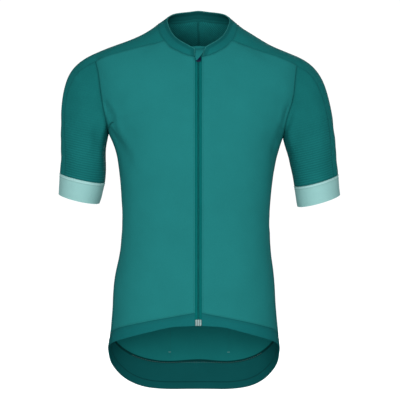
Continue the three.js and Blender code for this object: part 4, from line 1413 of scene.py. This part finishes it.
@dataclass
class Zip:
    """The zip's hard parts: coil, slider, pull, garage and box."""

    tooth_pitch: float = 1.35 * MM
    tooth_reach: float = 1.5 * MM
    tooth_tall: float = 0.85 * MM
    tooth_deep: float = 1.7 * MM

    def line(self) -> np.ndarray:
        """Returns the coil's middle line, from the CAD coil's rings, bottom to top."""
        spots = np.array([vert.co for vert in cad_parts["zip_coil"].data.vertices])
        spots = spots[np.argsort(spots[:, 2])]
        breaks = np.where(np.diff(spots[:, 2]) > 3 * MM)[0] + 1
        return np.array([ring.mean(axis=0) for ring in np.split(spots, breaks)])

    def tooth(self) -> tuple[np.ndarray, list]:
        """Models one tooth and returns its points and faces."""
        bpy.ops.object.select_all(action="DESELECT")
        bpy.ops.mesh.primitive_cube_add(size=1.0)
        model = bpy.context.object
        bpy.ops.object.mode_set(mode="EDIT")
        bpy.ops.mesh.select_all(action="SELECT")
        bpy.ops.mesh.bevel(offset=0.22, segments=2, affect="EDGES")
        bpy.ops.object.mode_set(mode="OBJECT")
        spots = np.array([vert.co for vert in model.data.vertices])
        faces = [list(face.vertices) for face in model.data.polygons]
        bpy.data.objects.remove(model)
        return spots, faces

    def coil(self, palette: Palette) -> None:
        """Sets interlocking teeth along the zip in place of the plain coil."""
        line = self.line()
        run = np.concatenate(([0.0], np.cumsum(np.linalg.norm(np.diff(line, axis=0), axis=1))))
        shape, shape_faces = self.tooth()
        size = np.array((self.tooth_reach, self.tooth_deep, self.tooth_tall))
        points, faces = [], []
        for k in range(int(run[-1] / self.tooth_pitch)):
            where = (k + 0.5) * self.tooth_pitch
            middle = Stitching.at(run, line, where)
            ahead = Stitching.at(run, line, min(where + MM, run[-1])) - Stitching.at(run, line, max(where - MM, 0.0))
            lean = math.atan2(ahead[1], ahead[2])
            side = 1 if k % 2 else -1
            tooth = shape * size
            turned = tooth.copy()
            turned[:, 1] = tooth[:, 1] * math.cos(lean) + tooth[:, 2] * math.sin(lean)
            turned[:, 2] = tooth[:, 2] * math.cos(lean) - tooth[:, 1] * math.sin(lean)
            first = len(points)
            points += list(turned + middle + np.array((side * 0.42 * MM, 0.0, 0.0)))
            faces += [[first + n for n in face] for face in shape_faces]
        coil = new_piece("zip_teeth", points, faces)
        smooth(coil, 60)
        palette.dress(coil, Palette.COIL)
        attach(coil, BODY)
        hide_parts("zip_coil")
        LOG.info("zip_teeth: %d faces", len(faces))

    def hard_parts(self, palette: Palette) -> None:
        """Rounds the edges of the slider, pull and box, and gives each its finish."""
        for name, finish, round_by in (
            ("zip_slider", Palette.NAVY, 0.18 * MM),
            ("zip_pull", Palette.NAVY, 0.22 * MM),
            ("zip_box", Palette.MINT, 0.25 * MM),
        ):
            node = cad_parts[name]
            weld = node.modifiers.new("Weld", "WELD")
            weld.merge_threshold = 0.002 * MM
            bevel = node.modifiers.new("Bevel", "BEVEL")
            bevel.width = round_by
            bevel.segments = 2
            bevel.limit_method = "ANGLE"
            smooth(node, 50)
            palette.dress(node, finish)
            LOG.info("%s dressed", name)

    def garage(self, palette: Palette) -> bpy.types.Object:
        """Makes the garage's folded cloth from its CAD node, with a soft fold.

        Args:
            palette: the finishes.

        Returns:
            The garage.
        """
        mesh = bpy.data.meshes.new("garage_flap")
        whole = bmesh.new()
        whole.from_mesh(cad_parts["zip_garage"].data)
        bmesh.ops.remove_doubles(whole, verts=whole.verts, dist=0.002 * MM)
        layer = whole.loops.layers.uv.new("cloth")
        for face in whole.faces:
            for loop in face.loops:
                loop[layer].uv = (loop.vert.co.x, loop.vert.co.z)
        whole.to_mesh(mesh)
        whole.free()
        flap = bpy.data.objects.new("garage_flap", mesh)
        bpy.context.scene.collection.objects.link(flap)
        apply_modifier(flap, "BEVEL", width=0.3 * MM, segments=2, limit_method="ANGLE", angle_limit=math.radians(55))
        smooth(flap, 50)
        for name in ("to_seam", "to_edge"):
            flap.data.attributes.new(name, "FLOAT", "POINT").data.foreach_set("value", [20.0] * len(flap.data.vertices))
        palette.dress(flap, Palette.GUARD)
        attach(flap, BODY)
        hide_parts("zip_garage")
        return flap


@dataclass
class Jersey:
    """The whole garment: every piece of cloth, its sewing and its zip."""

    palette: Palette = field(default_factory=Palette)
    stitching: Stitching = field(default_factory=Stitching)
    tapes: SeamTapes = field(default_factory=SeamTapes)
    creases: CreaseMap = field(default_factory=CreaseMap)
    zip: Zip = field(default_factory=Zip)
    cloth: list[ClothPiece] = field(default_factory=list)

    BAND_WALL = 1.8 * MM
    THIN_WALL = 1.0 * MM
    DIVISIONS = (-57.0, 61.5)
    POCKET_FOOT = -655.0
    POCKET_MOUTH = -448.0
    TACK_LEVEL = -645.0
    TACK_HALF = 3.4

    def plan(self) -> None:
        """Lists every piece of cloth with its flat size, wall, stitching and finish."""
        seam_row = StitchRow(EdgeKind.SEWN, 2.2 * MM)
        edge_row = StitchRow(EdgeKind.FREE, 2.4 * MM)
        for side in ("left", "right"):
            self.cloth += [
                ClothPiece(f"front_{side}", Palette.FRONT, (0.215, 0.57), 0.097, rows=(seam_row, edge_row)),
                ClothPiece(
                    f"hem_front_{side}",
                    Palette.BAND,
                    (0.18, 0.03),
                    0.0044,
                    self.BAND_WALL,
                    rows=(StitchRow(EdgeKind.SEWN, 2.0 * MM), StitchRow(EdgeKind.SEWN, 4.6 * MM)),
                ),
                ClothPiece(f"shoulder_sleeve_{side}", Palette.SHOULDER, (0.25, 0.48), 0.0765, rows=(seam_row,)),
                ClothPiece(
                    f"sleeve_front_{side}",
                    Palette.SLEEVE,
                    (0.11, 0.245),
                    0.0202,
                    rows=(seam_row,),
                    extra_fine=1,
                    rib_depth=0.14 * MM,
                ),
                ClothPiece(
                    f"cuff_{side}",
                    Palette.CUFF,
                    (0.3, 0.048),
                    0.0133,
                    self.BAND_WALL,
                    valley=0.2 * MM,
                    rows=(StitchRow(EdgeKind.SEWN, 7.5 * MM, pale=True),),
                ),
            ]
        self.cloth += [
            ClothPiece(
                "tail_band",
                Palette.TAIL,
                (0.47, 0.08),
                0.0256,
                self.BAND_WALL,
                rows=(
                    StitchRow(EdgeKind.SEWN, 2.0 * MM),
                    StitchRow(EdgeKind.SEWN, 0.6 * MM, inner=True, pale=True, sparse=True, span=(0.037, 0.133)),
                    StitchRow(EdgeKind.SEWN, 4.6 * MM, inner=True),
                    StitchRow(EdgeKind.FREE, 14 * MM),
                    StitchRow(EdgeKind.FREE, 14 * MM, inner=True),
                ),
                tape=Palette.DARK_TAPE,
            ),
            ClothPiece("back_body", Palette.BACK, (0.44, 0.57), 0.235, rows=(seam_row,), lines=self.divisions(True)),
            ClothPiece(
                "collar_band",
                Palette.COLLAR,
                (0.42, 0.032),
                0.0099,
                self.BAND_WALL,
                creased=False,
                rows=(
                    StitchRow(EdgeKind.SEWN, 1.8 * MM),
                    StitchRow(EdgeKind.FREE, 2.6 * MM),
                    StitchRow(EdgeKind.FREE, 2.6 * MM, inner=True),
                ),
            ),
            ClothPiece(
                "pocket_panel",
                Palette.BACK,
                (0.42, 0.23),
                0.079,
                rows=(StitchRow(EdgeKind.FREE, 2.2 * MM), StitchRow(EdgeKind.FREE, 9 * MM)),
                lines=self.divisions(False),
            ),
            ClothPiece("zip_tape_left", Palette.TAPE, (0.0115, 0.522), 0.0058, self.THIN_WALL, False, (), extra_fine=-1),
            ClothPiece("zip_tape_right", Palette.TAPE, (0.0115, 0.522), 0.0058, self.THIN_WALL, False, (), extra_fine=-1),
            ClothPiece(
                "zip_guard",
                Palette.GUARD,
                (0.044, 0.535),
                0.0165,
                self.THIN_WALL,
                False,
                (StitchRow(EdgeKind.FREE, 2.0 * MM),),
                extra_fine=-1,
            ),
        ]

    @classmethod
    def divisions(cls, inner: bool) -> tuple[StitchLine, ...]:
        """Returns the sewn lines that part the pockets, each with a bar tack near its foot."""
        lines = []
        for x in cls.DIVISIONS:
            lines.append(StitchLine((x, cls.POCKET_FOOT), (x, cls.POCKET_MOUTH), inner))
            for rise in (-0.35, 0.35):
                level = cls.TACK_LEVEL + rise
                lines.append(StitchLine((x - cls.TACK_HALF, level), (x + cls.TACK_HALF, level), inner, True, 1.0))
        return tuple(lines)

    def border_tree(self, skip: ClothPiece) -> kdtree.KDTree:
        """Returns the border points of all the pieces but one."""
        marks = []
        for cloth in self.cloth:
            if cloth is not skip:
                spots, _ = cloth.places()
                for stretch in cloth.borders():
                    marks += list(spots[stretch])
        tree = kdtree.KDTree(len(marks))
        for k, mark in enumerate(marks):
            tree.insert(mark, k)
        tree.balance()
        return tree

    def build(self) -> None:
        """Makes every piece, from the cut cloth to the sewing and the zip."""
        self.plan()
        for cloth in self.cloth:
            cloth.cut()
        for cloth in self.cloth:
            cloth.find_chains(self.border_tree(cloth))
        for cloth in self.cloth:
            cloth.shape(self.creases)
        surface = ClothSurface(self.cloth)
        done: list[np.ndarray] = []
        for cloth in self.cloth:
            extras = self.sew(cloth, surface, done)
            cloth.thicken()
            cloth.finish_off(self.palette, extras)
        self.zip.coil(self.palette)
        self.zip.hard_parts(self.palette)
        self.zip.garage(self.palette)

    def sew(self, cloth: ClothPiece, surface: ClothSurface, done: list[np.ndarray]) -> list[bpy.types.Object]:
        """Makes a piece's stitches and seam tapes.

        Args:
            cloth: the piece.
            surface: all the sheets.
            done: the borders that have their tapes already, to which this piece's are added.

        Returns:
            The new pieces.
        """
        extras = []
        threads = cloth.threads()
        for pale, name, finish in ((False, "stitches", Palette.THREAD), (True, "pale_stitches", Palette.PALE_THREAD)):
            sewn = self.stitching.sew(f"{name}_{cloth.node}", [thread for thread in threads if thread.pale is pale])
            if sewn:
                self.palette.dress(sewn, finish)
                cloth.stitches += len(sewn.data.polygons) // (3 * self.stitching.sides + 2)
                extras.append(sewn)
        taken = None
        if done:
            marks = np.vstack(done)
            taken = kdtree.KDTree(len(marks))
            for k, mark in enumerate(marks):
                taken.insert(mark, k)
            taken.balance()
        if not cloth.node.startswith("zip") and cloth.node != "pocket_panel":
            tape = self.tapes.make(cloth, surface, taken)
            if tape:
                self.palette.dress(tape, cloth.tape)
                extras.append(tape)
            done += [chain.points for chain in cloth.chains if chain.kind is EdgeKind.SEWN]
        for piece in extras:
            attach(piece, BODY)
        return extras


@dataclass
class Studio:
    """A plain pale floor, soft light and the photograph's camera."""

    distance: float = 3.5
    lens: float = 161.5
    aim: tuple[float, float, float] = (0.003, 0.0, -0.339)
    floor_z: float = -0.8
    floor_half: float = 14.0
    ambient: float = 0.35

    def camera(self) -> None:
        """Places the camera level with the middle of the jersey, straight in front."""
        data = bpy.data.cameras.new("camera")
        data.lens = self.lens
        data.sensor_width = 36.0
        data.clip_end = 60.0
        camera = bpy.data.objects.new("camera", data)
        camera.location = (self.aim[0], -self.distance, self.aim[2])
        camera.rotation_euler = (math.radians(90), 0.0, 0.0)
        bpy.context.scene.collection.objects.link(camera)
        bpy.context.scene.camera = camera

    def floor(self) -> None:
        """Lays the floor."""
        half, z = self.floor_half, self.floor_z
        corners = [(-half, -half, z), (half, -half, z), (half, half, z), (-half, half, z)]
        floor = new_piece("studio_floor", corners, [[0, 1, 2, 3]])
        graph = Graph("pale_floor")
        graph.feed(graph.shader.inputs["Base Color"], (0.9, 0.9, 0.9, 1.0))
        graph.feed(graph.shader.inputs["Roughness"], 1.0)
        graph.feed(graph.shader.inputs["Specular IOR Level"], 0.0)
        graph.feed(graph.shader.inputs["Emission Color"], (1.0, 1.0, 1.0, 1.0))
        graph.feed(graph.shader.inputs["Emission Strength"], 0.75)
        floor.data.materials.append(graph.material)
        floor.visible_diffuse = False
        floor.visible_glossy = False

    def world(self) -> None:
        """Makes the surroundings white to the camera and a dimmer grey to the cloth."""
        world = bpy.data.worlds.new("studio")
        world.use_nodes = True
        tree = world.node_tree
        tree.nodes.clear()
        output = tree.nodes.new("ShaderNodeOutputWorld")
        seen = tree.nodes.new("ShaderNodeLightPath")
        white = tree.nodes.new("ShaderNodeBackground")
        grey = tree.nodes.new("ShaderNodeBackground")
        mix = tree.nodes.new("ShaderNodeMixShader")
        white.inputs["Color"].default_value = (1.0, 1.0, 1.0, 1.0)
        white.inputs["Strength"].default_value = 1.05
        grey.inputs["Color"].default_value = (0.95, 0.98, 1.0, 1.0)
        grey.inputs["Strength"].default_value = self.ambient
        tree.links.new(seen.outputs["Is Camera Ray"], mix.inputs[0])
        tree.links.new(grey.outputs[0], mix.inputs[1])
        tree.links.new(white.outputs[0], mix.inputs[2])
        tree.links.new(mix.outputs[0], output.inputs["Surface"])
        bpy.context.scene.world = world
        bpy.context.scene.view_settings.view_transform = "Standard"

    def light(self, name: str, place: tuple, size: float, power: float, aim: tuple = (0.0, 0.0, -0.35)) -> None:
        """Adds a soft square light.

        Args:
            name: its name.
            place: where it stands, in metres.
            size: its side, in metres.
            power: its power, in watts.
            aim: the point that it faces.
        """
        data = bpy.data.lights.new(name, "AREA")
        data.size = size
        data.energy = power
        lamp = bpy.data.objects.new(name, data)
        lamp.location = place
        lamp.rotation_euler = (Vector(aim) - Vector(place)).to_track_quat("-Z", "Y").to_euler()
        bpy.context.scene.collection.objects.link(lamp)

    def build(self) -> None:
        """Sets up the whole studio."""
        self.camera()
        self.floor()
        self.world()
        self.light("front_light", (-0.5, -2.6, -0.4), 1.6, 54)
        self.light("front_fill", (1.1, -2.3, -0.5), 1.3, 18)
        self.light("back_light", (0.6, 2.6, 0.6), 1.8, 20)
        self.light("top_light", (0.0, 0.2, 2.2), 1.6, 3)
        LOG.info("studio ready")


def main() -> None:
    """Builds the studio and the jersey."""
    Studio().build()
    Jersey().build()


if __name__ == "__main__":
    main()
